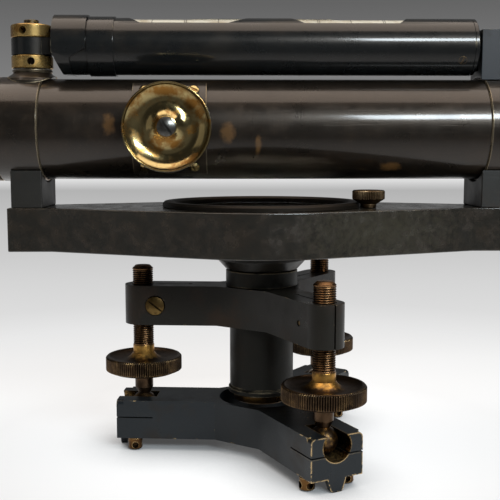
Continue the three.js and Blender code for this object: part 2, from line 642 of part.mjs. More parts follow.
// Focusing saddle with its boss
const saddleRing = solid(ringX(collarInner, saddle.radius, pinion.x - saddle.halfLength,
  pinion.x + saddle.halfLength, fine));
const saddleWindow = solid(block(
  pinion.x - saddle.halfLength - overrun, pinion.x + saddle.halfLength + overrun,
  -saddle.radius - overrun, 0, -saddle.halfHeight, saddle.halfHeight,
));
const saddleBoss = solid(rod(saddle.bossRadius, tube.bore, saddle.bossEnd,
  medium).rotateX(quarterTurn).translate(pinion.x, 0, 0));
const tubeClear = solid(rodX(collarInner, pinion.x - saddle.halfLength - overrun,
  pinion.x + saddle.halfLength + overrun, fine));
const journalHole = solid(
  rod(pinion.journalRadius + slideGap, 0, saddle.bossEnd + overrun,
    coarse).rotateX(quarterTurn).translate(pinion.x, 0, 0),
);
const saddleBody = cut(join(saddleRing.intersect(saddleWindow), saddleBoss.subtract(tubeClear)),
  journalHole, ...saddleScrewHoles);
place("pinion_saddle", tubeCentre(geometryOf(saddleBody)), paint.bronze);

const saddleHeadStart = saddle.radius + faceGap;
const saddleHeadEnd = saddleHeadStart + saddleScrew.headHeight;
const saddleHeadEdge = saddleHeadEnd - saddleScrew.headHeight / 2;
const saddleCornerNames = ["eye_low", "eye_high", "object_low", "object_high"];
saddleScrewSpots.forEach((spot, i) => {
  const turnedScrew = solid(turned([
    [0, saddleScrew.end], [saddleScrew.shank, saddleScrew.end], [saddleScrew.shank, saddleHeadStart],
    [saddleScrew.headRadius, saddleHeadStart],
    [saddleScrew.headRadius, saddleHeadEdge], [saddleScrew.headRadius / 2, saddleHeadEnd],
    [0, saddleHeadEnd],
  ], coarse));
  const slot = solid(slotAcross(
    saddleScrew.slotWidth, saddleScrew.slotDepth, saddleHeadEnd, saddleScrew.headRadius + overrun,
    (i + 1) * saddleScrewTilt,
  ));
  const body = geometryOf(turnedScrew.subtract(slot));
  place(`saddle_screw_${saddleCornerNames[i]}`, tubeCentre(toSaddleCorner(body, spot)), paint.brass);
});

// Focusing pinion: a toothed end inside the tube and a journal out to the knob
const toothStep = (2 * halfTurn) / pinion.teeth;
const rootRadius = pinion.pitchRadius - pinion.dedendum;
const tipRadius = pinion.pitchRadius + pinion.addendum;
const pinionOutline = [];
for (let i = 0; i < pinion.teeth; i += 1) {
  const centre = -quarterTurn + i * toothStep;
  pinionOutline.push(circlePoint(rootRadius, centre - pinion.baseHalfAngle));
  pinionOutline.push(circlePoint(pinion.pitchRadius, centre - pinion.toothHalfAngle));
  pinionOutline.push(circlePoint(tipRadius, centre - pinion.tipHalfAngle));
  pinionOutline.push(circlePoint(tipRadius, centre + pinion.tipHalfAngle));
  pinionOutline.push(circlePoint(pinion.pitchRadius, centre + pinion.toothHalfAngle));
  pinionOutline.push(circlePoint(rootRadius, centre + pinion.baseHalfAngle));
}
const pinionTeeth = solid(extrudedY(pinionOutline, -pinion.faceEnd, -pinion.faceStart));
const pinionShaft = solid(rod(pinion.journalRadius, pinion.faceStart, pinion.shaftEnd,
  coarse).rotateX(quarterTurn));
place("focus_pinion", geometryOf(join(pinionTeeth, pinionShaft)).translate(pinion.x, 0, axisZ),
  paint.steel);

const knobProfile = [
  [knob.bore, knob.back], [knob.hubRadius, knob.back],
  [knob.hubRadius + knob.hubStep, knob.back + knob.hubStep],
  [knob.backShoulder, knob.back + knob.backRise], [knob.radius, knob.back + knob.sideStart],
  [knob.radius, knob.back + knob.sideEnd],
  [knob.crownRadius, knob.back + knob.crown], [knob.rimInner, knob.back + knob.front],
  [knob.lipInner, knob.back + knob.lipDepth],
  [knob.grooveRadius, knob.back + knob.grooveDepth], [knob.domeRadius, knob.back + knob.domeStart],
  [knob.domeMidRadius, knob.back + knob.domeMid], [knob.domeInner, knob.back + knob.domeTop],
  [knob.seatRadius, knob.back + knob.seat], [knob.bore, knob.back + knob.seat],
];
place("focus_knob", clean(turnedSide(knobProfile, fine)).translate(pinion.x, 0, axisZ), paint.brass);

const knobSeat = knob.back + knob.seat + knobScrew.seatLift;
const knobScrewTop = knobSeat + knobScrew.dome;
const knobScrewBody = solid(turned([
  [0, knob.back + knobScrew.shankStart], [knobScrew.shank, knob.back + knobScrew.shankStart],
  [knobScrew.shank, knobSeat],
  [knobScrew.radius, knobSeat], [knobScrew.radius, knobSeat + knobScrew.edge],
  [knobScrew.innerRadius, knobScrewTop - knobScrew.edge / 2],
  [0, knobScrewTop],
], medium)).subtract(solid(slotAcross(
  knobScrew.slotWidth, knobScrew.slotDepth, knobScrewTop, knobScrew.radius + overrun, knobScrew.slotTurn,
)));
place("focus_knob_screw", geometryOf(knobScrewBody).rotateX(quarterTurn).translate(pinion.x, 0, axisZ),
  paint.steel);

// Rack, fixed inside the draw tube below the pinion
const toothPitch = toothStep * pinion.pitchRadius;
const rackTip = pinion.addendum - pinion.pitchRadius;
const rackRoot = -pinion.pitchRadius - pinion.dedendum;
const rackOutline = [[rackBar.start, -rackBar.depth], [rackBar.end, -rackBar.depth],
  [rackBar.end, rackRoot]];
const lastTooth = Math.floor((rackBar.end - pinion.x) / toothPitch - 1);
const firstTooth = Math.ceil((rackBar.start - pinion.x) / toothPitch);
for (let i = lastTooth; i >= firstTooth; i -= 1) {
  const centre = pinion.x + (i + 1 / 2) * toothPitch;
  rackOutline.push([centre + rackBar.rootHalf, rackRoot], [centre + rackBar.tipHalf, rackTip]);
  rackOutline.push([centre - rackBar.tipHalf, rackTip], [centre - rackBar.rootHalf, rackRoot]);
}
rackOutline.push([rackBar.start, rackRoot]);
place("focus_rack", tubeCentre(clean(extrudedY(rackOutline, -rackBar.outer, -rackBar.inner))), paint.brass);

// Draw tube, slotted on the knob's side for the pinion
const drawOuter = solid(ringX(drawTube.bore, drawTube.radius, drawTube.rear, drawTube.front, fine));
const drawSlot = solid(block(
  drawTube.slotRear, drawTube.slotFront, -drawTube.radius - overrun, -rackBar.inner, -drawTube.slotHalf,
  drawTube.slotHalf,
));
place("draw_tube", tubeCentre(geometryOf(drawOuter.subtract(drawSlot))), paint.brass);

const cellBore = drawTube.radius + faceGap;
const cellProfile = [
  [cellBore, cell.start], [cell.radius, cell.start], [cell.radius, cell.rimStart],
  [cell.rimRadius - cell.edge, cell.rimStart],
  [cell.rimRadius, cell.rimStart + cell.edge], [cell.rimRadius, cell.end - cell.edge],
  [cell.rimRadius - cell.edge, cell.end],
  [cell.mouth, cell.end], [cell.mouth, cell.lip], [cell.lensSeat, cell.lip],
  [cell.lensSeat, cell.shoulder + overrun],
  [cell.stopRadius, cell.shoulder + overrun], [cell.stopRadius, cell.shoulder], [cellBore, cell.shoulder],
];
place("objective_cell", tubeCentre(clean(turnedX(cellProfile, fine))), paint.bronze);

function bulgePoints(face, sign) {
  const points = [];
  for (let i = 0; i <= lens.steps; i += 1) {
    const share = i / lens.steps;
    points.push([lens.radius * share, face + sign * lens.bulge * (1 - share * share)]);
  }
  return points;
}
const lensProfile = [
  ...bulgePoints(lens.rear + lens.bulge, -1),
  ...bulgePoints(lens.rear + lens.bulge + lens.edgeLength, 1).reverse(),
];
place("objective_lens", tubeCentre(clean(turnedX(lensProfile, medium))), paint.glassTint,
  { transparent: true, opacity: 0.35 });

// Eye end: fitting, cross-hair ring with its two screws, eyepiece tube, cap and lens
const eyeProfile = [
  [eyeEnd.slideBore, eyeEnd.bossEnd], [eyeEnd.bossRadius - eyeEnd.edge, eyeEnd.bossEnd],
  [eyeEnd.bossRadius, eyeEnd.bossEnd + eyeEnd.edge], [eyeEnd.bossRadius, eyeEnd.wallEnd],
  [eyeEnd.wallRadius, eyeEnd.wallEnd],
  [eyeEnd.wallRadius, eyeEnd.ringEnd], [eyeEnd.ringRadius - eyeEnd.edge, eyeEnd.ringEnd],
  [eyeEnd.ringRadius, eyeEnd.ringEnd + eyeEnd.edge], [eyeEnd.ringRadius, eyeEnd.start - eyeEnd.edge],
  [eyeEnd.ringRadius - eyeEnd.edge, eyeEnd.start], [eyeEnd.tubeSeat, eyeEnd.start],
  [eyeEnd.tubeSeat, tube.eyeEnd - seatGap],
  [eyeEnd.reticleBore, tube.eyeEnd - seatGap], [eyeEnd.reticleBore, eyeEnd.reticleEnd],
  [eyeEnd.slideBore, eyeEnd.reticleEnd],
];
const reticleWallHole = solid(rod(
  reticleScrew.wallHole, -eyeEnd.bossRadius - overrun, eyeEnd.bossRadius + overrun, drill,
).translate(reticle.x, 0, 0));
place("eye_end_fitting", tubeCentre(geometryOf(cut(solid(turnedX(eyeProfile, fine)), reticleWallHole))),
  paint.wornBrass);

const reticleRing = solid(ringX(reticle.bore, reticle.radius, reticle.x - reticle.halfLength,
  reticle.x + reticle.halfLength, medium));
const reticleHole = solid(rod(reticle.hole, -reticle.radius - overrun, reticle.radius + overrun,
  drill).translate(reticle.x, 0, 0));
place("reticle_ring", tubeCentre(geometryOf(reticleRing.subtract(reticleHole))), paint.brass);

const reticleHeadHole = solid(rod(reticleScrew.hole, -reticleScrew.headRadius - overrun,
  reticleScrew.headRadius + overrun, drill)
  .rotateY(quarterTurn).translate(0, 0, (reticleScrew.seat + reticleScrew.headEnd) / 2));
for (const [name, side] of [["reticle_screw_top", 1], ["reticle_screw_bottom", -1]]) {
  const body = solid(turned([
    [0, reticleScrew.start], [reticleScrew.shank, reticleScrew.start],
    [reticleScrew.shank, reticleScrew.seat],
    [reticleScrew.headRadius, reticleScrew.seat],
    [reticleScrew.headRadius, reticleScrew.headEnd - reticleScrew.edge],
    [reticleScrew.headRadius - reticleScrew.edge, reticleScrew.headEnd], [0, reticleScrew.headEnd],
  ], coarse)).subtract(reticleHeadHole);
  const geometry = geometryOf(body);
  if (side < 0) geometry.rotateX(halfTurn);
  place(name, geometry.translate(reticle.x, 0, axisZ), paint.brass);
}

place("eyepiece_tube", tubeCentre(clean(ringX(eyepiece.bore, eyepiece.radius, eyepiece.rear, eyepiece.front,
  medium))), paint.brass);
const eyeCapProfile = [
  [eyeCap.sight, eyeCap.wall], [eyeCap.sight, eyeCap.dishRear], [eyeCap.dish, eyeCap.rear],
  [eyeCap.radius - eyeCap.edge, eyeCap.rear],
  [eyeCap.radius, eyeCap.rear + eyeCap.edge], [eyeCap.radius, eyeCap.start - eyeCap.edge],
  [eyeCap.radius - eyeCap.edge, eyeCap.start],
  [eyeCap.bore, eyeCap.start], [eyeCap.bore, eyeCap.wall],
];
place("eyepiece_cap", tubeCentre(clean(turnedX(eyeCapProfile, medium))), paint.bronze);
const eyeLensProfile = [
  [0, eyeLens.rear], [eyeLens.radius - eyeLens.edge, eyeLens.rear],
  [eyeLens.radius, eyeLens.rear + eyeLens.edge],
  [eyeLens.radius, eyeLens.front - eyeLens.edge], [eyeLens.radius - eyeLens.edge, eyeLens.front],
  [0, eyeLens.front],
];
place("eye_lens", tubeCentre(clean(turnedX(eyeLensProfile, coarse))), paint.glassTint,
  { transparent: true, opacity: 0.35 });

// Bubble tube with two long windows in its top
const bubbleCentre = (geometry) => geometry.translate(0, 0, bubbleZ);
const casingBody = solid(turnedX([
  [casing.bore, casing.start], [casing.radius, casing.start], [casing.radius, casing.ringStart],
  [casing.ringRadius, casing.ringStart],
  [casing.ringRadius, casing.ringEnd], [casing.radius, casing.ringEnd], [casing.radius, casing.end],
  [casing.bore, casing.end],
], medium));
const windowFloor = casing.radius - casing.windowDrop;
const windowTop = casing.radius + overrun;
const casingLength = casing.end - casing.start;
const windowCuts = windowShares.map((shares) => {
  const [rampStart, start, end, rampEnd] = [shares.rampStart, shares.start, shares.end, shares.rampEnd]
    .map((share) => casing.start + share * casingLength);
  const rise = overrun / casing.windowDrop;
  const outline = [
    [start, windowFloor], [end, windowFloor], [rampEnd + (rampEnd - end) * rise, windowTop],
    [rampStart - (start - rampStart) * rise, windowTop],
  ];
  return solid(extrudedY(outline, -casing.radius, casing.radius));
});
place("bubble_casing", bubbleCentre(geometryOf(cut(casingBody, ...windowCuts))), paint.blueBlack);

const vialProfile = [
  [0, vial.start - vial.domeLength], [vial.domeRadius, vial.start], [vial.radius, vial.start + vial.edge],
  [vial.radius, vial.end - vial.edge], [vial.domeRadius, vial.end], [0, vial.end + vial.domeLength],
];
place("bubble_vial", bubbleCentre(clean(turnedX(vialProfile, medium))), paint.vialCream,
  { transparent: true, opacity: 0.8 });

// Eye-end cap of the bubble tube, with the lug that sits between the two nuts
const eyeCapSleeve = solid(turnedX([
  [0, eyeBubbleCap.start], [eyeBubbleCap.radius, eyeBubbleCap.start],
  [eyeBubbleCap.radius, eyeBubbleCap.end],
  [eyeBubbleCap.bore, eyeBubbleCap.end], [eyeBubbleCap.bore, eyeBubbleCap.plugStart],
  [0, eyeBubbleCap.plugStart],
], medium));
const capReach = eyeBubbleCap.radius + overrun;
const capLowCut = solid(extrudedY([
  [eyeBubbleCap.cutEnd, -eyeBubbleCap.stepDrop], [eyeBubbleCap.stepEnd, -eyeBubbleCap.cutDrop],
  [eyeBubbleCap.end + overrun, -eyeBubbleCap.cutDrop / 2], [eyeBubbleCap.end + overrun, -capReach],
  [eyeBubbleCap.cutEnd, -capReach],
], -capReach, capReach));
const capFlat = solid(block(
  eyeBubbleCap.start - overrun, eyeBubbleCap.end + overrun, -capReach, capReach, -capReach,
  -eyeBubbleCap.flatDrop,
));
const capSlant = solid(extrudedY([
  [eyeBubbleCap.start - overrun, -eyeBubbleCap.slantTop], [eyeBubbleCap.start, -eyeBubbleCap.slantTop],
  [eyeBubbleCap.start + eyeBubbleCap.slantRun, -capReach], [eyeBubbleCap.start - overrun, -capReach],
], -capReach, capReach));
const lugBottom = lug.bottom - bubbleZ;
const lugTop = lug.top - bubbleZ;
const lugBoss = solid(rod(lug.radius, lugBottom, lugTop, medium).translate(stud.x, 0, 0));
const lugNeck = solid(block(stud.x, eyeBubbleCap.plugStart, -lug.neckHalf, lug.neckHalf, lugBottom,
  lugTop));
const lugHole = solid(rod(stud.radius + lug.studRoom, lugBottom - overrun, lugTop + overrun, coarse)
  .translate(stud.x, 0, 0));
const eyeBubbleBody = cut(join(cut(eyeCapSleeve, capLowCut, capFlat, capSlant), lugBoss, lugNeck), lugHole);
place("bubble_eye_cap", bubbleCentre(geometryOf(eyeBubbleBody)), paint.blueBlack);

// Object-end cap with the tongue that hinges in the fork
const objectCapPlug = solid(turnedX([
  [0, objectBubbleCap.plugStart], [objectBubbleCap.plugRadius, objectBubbleCap.plugStart],
  [objectBubbleCap.plugRadius, objectBubbleCap.start], [casing.radius, objectBubbleCap.start],
  [casing.radius, objectBubbleCap.shoulder],
  [objectBubbleCap.roundRadius, objectBubbleCap.end], [0, objectBubbleCap.end],
], medium));
const tongue = solid(block(
  objectBubbleCap.shoulder, fork.pinX, -objectBubbleCap.tongueHalf, objectBubbleCap.tongueHalf,
  -objectBubbleCap.tongueRise, objectBubbleCap.tongueRise,
));
const tongueEnd = solid(rod(objectBubbleCap.tongueRise, -objectBubbleCap.tongueHalf,
  objectBubbleCap.tongueHalf, medium)
  .rotateX(quarterTurn).translate(fork.pinX, 0, 0));
const tonguePinHole = solid(rod(forkPin.hole, -fork.halfWidth - overrun, fork.halfWidth + overrun, drill)
  .rotateX(quarterTurn).translate(fork.pinX, 0, 0));
place("bubble_object_cap", bubbleCentre(geometryOf(cut(join(objectCapPlug, tongue, tongueEnd),
  tonguePinHole))), paint.blueBlack);

const collarClear = solid(rodX(collar.radius + seatGap, -tube.objectEnd, tube.objectEnd, fine).translate(0,
  0, axisZ));
const forkOutline = [
  [fork.start, fork.base], [fork.end, fork.base], [fork.end, fork.top - fork.shoulder],
  [fork.end - fork.shoulder, fork.top],
  [fork.start, fork.top],
];
const forkBody = solid(extrudedY(forkOutline, -fork.halfWidth, fork.halfWidth));
const forkSlot = solid(block(
  fork.start - overrun, fork.end + overrun, -fork.slotHalf, fork.slotHalf, fork.slotBottom,
  fork.top + overrun,
));
const forkHole = tonguePinHole.translate([0, 0, bubbleZ]);
place("bubble_hinge_fork", geometryOf(cut(forkBody, forkSlot, forkHole, collarClear)), paint.blueBlack);

const pinHeadStart = fork.halfWidth + faceGap;
place("bubble_hinge_pin", clean(turnedSide([
  [0, -forkPin.halfLength], [forkPin.radius, -forkPin.halfLength], [forkPin.radius, pinHeadStart],
  [forkPin.headRadius, pinHeadStart],
  [forkPin.headRadius, pinHeadStart + forkPin.headHeight], [0, pinHeadStart + forkPin.headHeight],
], coarse)).translate(fork.pinX, 0, bubbleZ), paint.steel);

// Stud on the eye collar and the two capstan nuts that hold the lug
const studBody = solid(turned([
  [0, stud.base], [stud.footRadius, stud.base], [stud.footRadius, stud.foot],
  [stud.skirtRadius, stud.skirt],
  [stud.flareRadius, stud.flare], [stud.neckRadius, stud.neckTop],
  [stud.flangeRadius, stud.flangeTop - stud.flangeHeight],
  [stud.flangeRadius, stud.flangeTop], [stud.radius, stud.flangeTop], [stud.radius, stud.top - stud.edge],
  [stud.radius - stud.edge, stud.top], [0, stud.top],
], medium).translate(stud.x, 0, 0));
place("bubble_stud", geometryOf(studBody.subtract(collarClear)), paint.bronze);

for (const [name, bottom, turn] of [
  ["capstan_nut_upper", lug.top + faceGap, nut.topTurn],
  ["capstan_nut_lower", lug.bottom - faceGap - nut.height, nut.lowTurn],
]) {
  const nutBore = stud.radius + nut.room;
  const body = solid(turned([
    [nutBore, 0], [nut.radius - nut.edge, 0], [nut.radius, nut.edge], [nut.radius, nut.height - nut.edge],
    [nut.radius - nut.edge, nut.height], [nutBore, nut.height],
  ], medium));
  const holes = [];
  for (let i = 0; i < nut.holes; i += 1) {
    const drilling = rod(nut.hole, nut.radius - nut.holeDepth, nut.radius + overrun,
      drill).rotateX(quarterTurn);
    holes.push(solid(drilling.rotateZ(turn + (i * 2 * halfTurn) / nut.holes).translate(0, 0,
      nut.height / 2)));
  }
  place(name, geometryOf(cut(body, ...holes)).translate(stud.x, 0, bottom), paint.brass);
}

// Stage: a round centre that tapers to a square pad at each end
const tangentTurn = Math.atan2(stage.padHalf,
  stage.padStart) + Math.acos(stage.circle / Math.hypot(stage.padStart, stage.padHalf));
const stageOutline = [];
for (const [along, across] of [[1, 1], [-1, 1], [-1, -1], [1, -1]]) {
  const corner = [
    [along * stage.padEnd, across * stage.padHalf], [along * stage.padStart, across * stage.padHalf],
  ];
  for (let i = 0; i < stage.arcSteps; i += 1) {
    const [x, y] = circlePoint(stage.circle,
      tangentTurn + ((quarterTurn - tangentTurn) * i) / stage.arcSteps);
    corner.push([along * x, across * y]);
  }
  stageOutline.push(...(along * across > 0 ? corner : corner.reverse()));
  if (along * across > 0) stageOutline.push([0, across * stage.circle]);
}
const stageBody = solid(extruded(stageOutline, stageBottom, stage.top));
const compassRecess = solid(rod(stage.recessRadius, stage.recessFloor, stage.top + overrun, fine));
const spigotHole = solid(rod(stage.spindleHole, stageBottom - overrun, stage.recessFloor - overrun,
  coarse));
const clampHole = solid(rod(clampKnob.hole, clampKnob.shaftBottom - seatGap, stage.top + overrun,
  coarse).translate(clampKnob.x, clampKnob.y, 0));
place("compass_stage", geometryOf(cut(stageBody, compassRecess, spigotHole, clampHole)), paint.gunmetal);

for (const [name, side] of [["eye_post", -1], ["object_post", 1]]) {
  const [x0, x1] = [side * post.inner, side * post.outer].sort((a, b) => a - b);
  const body = solid(block(x0, x1, -post.half, post.half, stage.top, axisZ)).subtract(collarClear);
  place(name, geometryOf(body), paint.gunmetal);
}

// Compass
const bezelTop = stage.top + bezel.height;
const glassTop = glass.bottom + glass.thickness;
const bezelBottom = stage.top + faceGap;
place("compass_bezel", clean(turned([
  [bezel.inner, bezelBottom], [bezel.radius, bezelBottom], [bezel.radius, bezelTop - bezel.edge],
  [bezel.radius - bezel.edge, bezelTop],
  [bezel.inner + bezel.edge, bezelTop], [bezel.inner, bezelTop - bezel.edge],
], fine)), paint.bronze);
place("compass_glass", clean(rod(glass.radius, glass.bottom, glassTop, fine)), paint.glassTint,
  { transparent: true, opacity: 0.25 });
const dialFloor = stage.recessFloor + faceGap;
const dialTop = dialFloor + dial.floor;
place("compass_dial", clean(turned([
  [dial.bore, dialFloor], [dial.radius, dialFloor], [dial.radius, dial.ringTop],
  [dial.ringInner, dial.ringTop], [dial.ringInner, dialTop],
  [dial.bore, dialTop],
], fine)), paint.silver);
place("compass_pivot", clean(turned([
  [0, pivot.base], [pivot.baseRadius, pivot.base], [pivot.baseRadius, pivot.shoulder],
  [pivot.stem, pivot.shoulder + pivot.stem],
  [pivot.stem, pivot.stemTop], [pivot.tipRadius, pivot.tip], [0, pivot.tip],
], coarse)), paint.steel);

const needleShoulder = needle.half * needle.shoulderShare;
const needleTip = needle.width * needle.tipShare;
const needleOutline = [
  [needle.half, -needleTip], [needle.half, needleTip], [needleShoulder, needle.width / 2],
  [-needleShoulder, needle.width / 2],
  [-needle.half, needleTip], [-needle.half, -needleTip], [-needleShoulder, -needle.width / 2],
  [needleShoulder, -needle.width / 2],
];
const needleBar = solid(extruded(needleOutline, needle.bottom, needle.bottom + needle.thickness));
const needleCap = solid(rod(needle.capRadius, needle.bottom, needle.bottom + needle.capHeight, coarse));
const needleCup = solid(rod(needle.cupRadius, needle.bottom - overrun, needle.cupTop, coarse));
place("compass_needle", geometryOf(cut(join(needleBar, needleCap),
  needleCup)).rotateZ(radians(armAngles[2])), paint.steel);

const lifterTop = lifter.bottom + lifter.thickness;
const lifterRing = solid(rod(lifter.ringRadius, lifter.bottom, lifterTop, coarse));
const lifterArm = solid(block(0, lifter.reach, -lifter.halfWidth, lifter.halfWidth, lifter.bottom,
  lifterTop));
const lifterBore = solid(rod(lifter.ringBore, lifter.bottom - overrun, lifterTop + overrun, coarse));
place("needle_lifter", geometryOf(cut(join(lifterRing, lifterArm), lifterBore)).rotateZ(clampKnob.turn),
  paint.brass);

place("needle_clamp_knob", clean(turned([
  [0, clampKnob.shaftBottom], [clampKnob.shaft, clampKnob.shaftBottom],
  [clampKnob.shaft, stage.top + faceGap],
  [clampKnob.neck, stage.top + faceGap], [clampKnob.neck, clampKnob.neckTop],
  [clampKnob.radius, clampKnob.flareTop],
  [clampKnob.radius, clampKnob.top - clampKnob.edge], [clampKnob.radius - clampKnob.edge, clampKnob.top],
  [clampKnob.dishRadius, clampKnob.top],
  [clampKnob.dishRadius - clampKnob.edge, clampKnob.top - clampKnob.dishDepth],
  [0, clampKnob.top - clampKnob.dishDepth],
], medium)).translate(clampKnob.x, clampKnob.y, 0), paint.wornBrass);

// Vertical axis: spindle, its end nut, the socket it turns in and the socket's cap
place("vertical_spindle", clean(turned([
  [0, spindle.stubBottom], [spindle.stubRadius, spindle.stubBottom], [spindle.stubRadius, spindle.bottom],
  [spindle.journalBottom, spindle.bottom], [spindle.journalTop, socket.top],
  [spindle.journalTop, spindle.flangeBottom],
  [spindle.coneFoot, spindle.flangeBottom], [spindle.flangeRadius, spindle.coneTop],
  [spindle.flangeRadius, spindle.flangeTop],
  [spindle.spigot, spindle.flangeTop], [spindle.spigot, spindle.spigotTop], [0, spindle.spigotTop],
], medium)), paint.gunmetal);
place("spindle_end_nut", clean(turned([
  [endNut.bore, endNut.bottom], [endNut.radius - endNut.edge, endNut.bottom],
  [endNut.radius, endNut.bottom + endNut.edge],
  [endNut.radius, endNut.top], [endNut.bore, endNut.top],
], medium)), paint.wornBrass);
place("axis_socket", clean(turned([
  [socket.boreBottom, socket.bottom], [socket.ringRadius, socket.bottom],
  [socket.ringRadius, socket.ringTop],
  [socket.grooveRadius, socket.ringTop], [socket.grooveRadius, socket.grooveTop],
  [socket.radius, socket.grooveTop],
  [socket.radius, socket.top], [socket.boreTop, socket.top],
], medium)), paint.bronze);
const capBore = spindle.journalTop + seatGap;
place("socket_cap", clean(turned([
  [capBore, socketCap.bottom], [socketCap.radius, socketCap.bottom],
  [socketCap.radius, socketCap.top - socketCap.edge],
  [socketCap.radius - socketCap.edge, socketCap.top], [capBore, socketCap.top],
], medium)), paint.bronze);

// Plan of a three-armed casting, with a flat between each pair of arms
function threeArms(halfWidth, flat, reach, roundSteps) {
  const points = [];
  const armSpread = halfTurn / armAngles.length;
  const flatReach = (flat - halfWidth * Math.sin(armSpread)) / Math.cos(armSpread);
  for (const degrees of [...armAngles].sort((a, b) => a - b)) {
    const turn = radians(degrees);
    const [cos, sin] = [Math.cos(turn), Math.sin(turn)];
    const put = (along, side) => points.push([along * cos - side * sin, along * sin + side * cos]);
    put(flatReach, -halfWidth);
    if (roundSteps > 0) {
      for (let i = 0; i <= roundSteps; i += 1) {
        const bend = -quarterTurn + (halfTurn * i) / roundSteps;
        put(reach + halfWidth * Math.cos(bend), halfWidth * Math.sin(bend));
      }
    } else {
      put(reach, -halfWidth);
      put(reach, halfWidth);
    }
    put(flatReach, halfWidth);
  }
  return points;
}

// A body built on an arm that points along +X, turned to that arm's direction
const onArm = (body, degrees) => body.rotate([0, 0, degrees]);

const tribrachHeight = tribrach.top - tribrach.bottom;
const tribrachMiddle = (tribrach.top + tribrach.bottom) / 2;
const tribrachCuts = [solid(rod(tribrach.bore, tribrach.bottom - overrun, tribrach.top + overrun, medium))];
const clampBore = rod(clampScrew.hole, -tribrach.halfWidth - overrun, tribrach.halfWidth + overrun, drill)
  .rotateX(quarterTurn).translate(clampScrew.reach, 0, tribrachMiddle);
const clampSeatStart = tribrach.halfWidth - clampScrew.seatDepth;
const clampSeat = rod(clampScrew.seatRadius, clampSeatStart, tribrach.halfWidth + overrun, medium)
  .rotateX(-quarterTurn).translate(clampScrew.reach, 0, tribrachMiddle);
for (const degrees of armAngles) {
  const pieces = [
    rod(tribrach.screwHole, tribrach.bottom - overrun, tribrach.top + overrun,
      medium).translate(screwCircle, 0, 0),
    block(
      tribrach.slitStart, screwCircle + tribrach.halfWidth + overrun, -tribrach.slitWidth / 2,
      tribrach.slitWidth / 2,
      tribrach.bottom - overrun, tribrach.top + overrun,
    ),
    rod(tribrach.slitHole, tribrach.bottom - overrun, tribrach.top + overrun,
      drill).translate(tribrach.slitStart, 0, 0),
    clampBore, clampSeat,
  ];
  tribrachCuts.push(...pieces.map((piece) => onArm(solid(piece), degrees)));
}
const tribrachBody = solid(extruded(
  threeArms(tribrach.halfWidth, tribrach.flat, screwCircle, tribrach.endSteps), tribrach.bottom,
  tribrach.top,
));
place("tribrach", geometryOf(cut(tribrachBody, ...tribrachCuts)), paint.gunmetal);

const armNames = ["eye", "front", "back"];
const clampHeadStart = clampSeatStart + faceGap;
const clampHeadEnd = tribrach.halfWidth + clampScrew.proud;
armAngles.forEach((degrees, i) => {
  const turnedScrew = solid(turned([
    [0, clampScrew.tipShort - tribrach.halfWidth],
    [clampScrew.shank, clampScrew.tipShort - tribrach.halfWidth],
    [clampScrew.shank, clampHeadStart], [clampScrew.headRadius, clampHeadStart],
    [clampScrew.headRadius, clampHeadEnd],
    [clampScrew.headRadius * clampScrew.innerShare, clampHeadEnd + clampScrew.dome],
    [0, clampHeadEnd + clampScrew.dome],
  ], medium));
  const slot = solid(slotAcross(
    clampScrew.slotWidth, clampScrew.slotDepth, clampHeadEnd + clampScrew.dome,
    clampScrew.headRadius + overrun, clampScrew.slotTurn,
  ));
  const geometry = geometryOf(turnedScrew.subtract(slot));
  geometry.rotateX(-quarterTurn).translate(clampScrew.reach, 0, tribrachMiddle);
  place(`clamp_screw_${armNames[i]}`, geometry.rotateZ(radians(degrees)), paint.brass);
});

// Levelling screws: dome-ended thread, dished knurled head, neck and ball
const ballProfile = [[0, plate.socketZ - levelScrew.ballRadius]];
const neckMeet = Math.acos((levelScrew.lowerNeck * levelScrew.neckShare) / levelScrew.ballRadius);
for (let i = 1; i <= levelScrew.ballSteps; i += 1) {
  const bend = -quarterTurn + ((neckMeet + quarterTurn) * i) / levelScrew.ballSteps;
  const [r, h] = circlePoint(levelScrew.ballRadius, bend);
  ballProfile.push([r, plate.socketZ + h]);
}
const narrowNeck = levelScrew.lowerNeck * levelScrew.neckShare;
const levelProfile = [
  ...ballProfile, [levelScrew.lowerNeck, plate.socketZ + levelScrew.neckDrop],
  [levelScrew.lowerNeck, levelScrew.lowerNeckTop],
  [levelScrew.lowerFlare, levelScrew.lowerFlareZ], [levelScrew.baseRadius, levelScrew.base],
  [levelScrew.radius, levelScrew.side],
  [levelScrew.radius, levelScrew.crown], [levelScrew.rimOuter, levelScrew.rimTop],
  [levelScrew.rimInner, levelScrew.rimTop],
  [levelScrew.dishMid, levelScrew.dishMidZ], [levelScrew.dishInner, levelScrew.dishFloor],
  [levelScrew.flareRadius, levelScrew.flareTop],
  [levelScrew.neckRadius, levelScrew.neckTop], [levelScrew.thread, levelScrew.threadStart],
  [levelScrew.thread, levelScrew.domeStart],
  [levelScrew.domeMidRadius, levelScrew.domeMid], [0, levelScrew.tip],
];
armAngles.forEach((degrees, i) => {
  const [x, y] = circlePoint(screwCircle, radians(degrees));
  place(`levelling_screw_${armNames[i]}`, clean(turned(levelProfile, medium)).translate(x, y, 0),
    paint.headBronze);
});

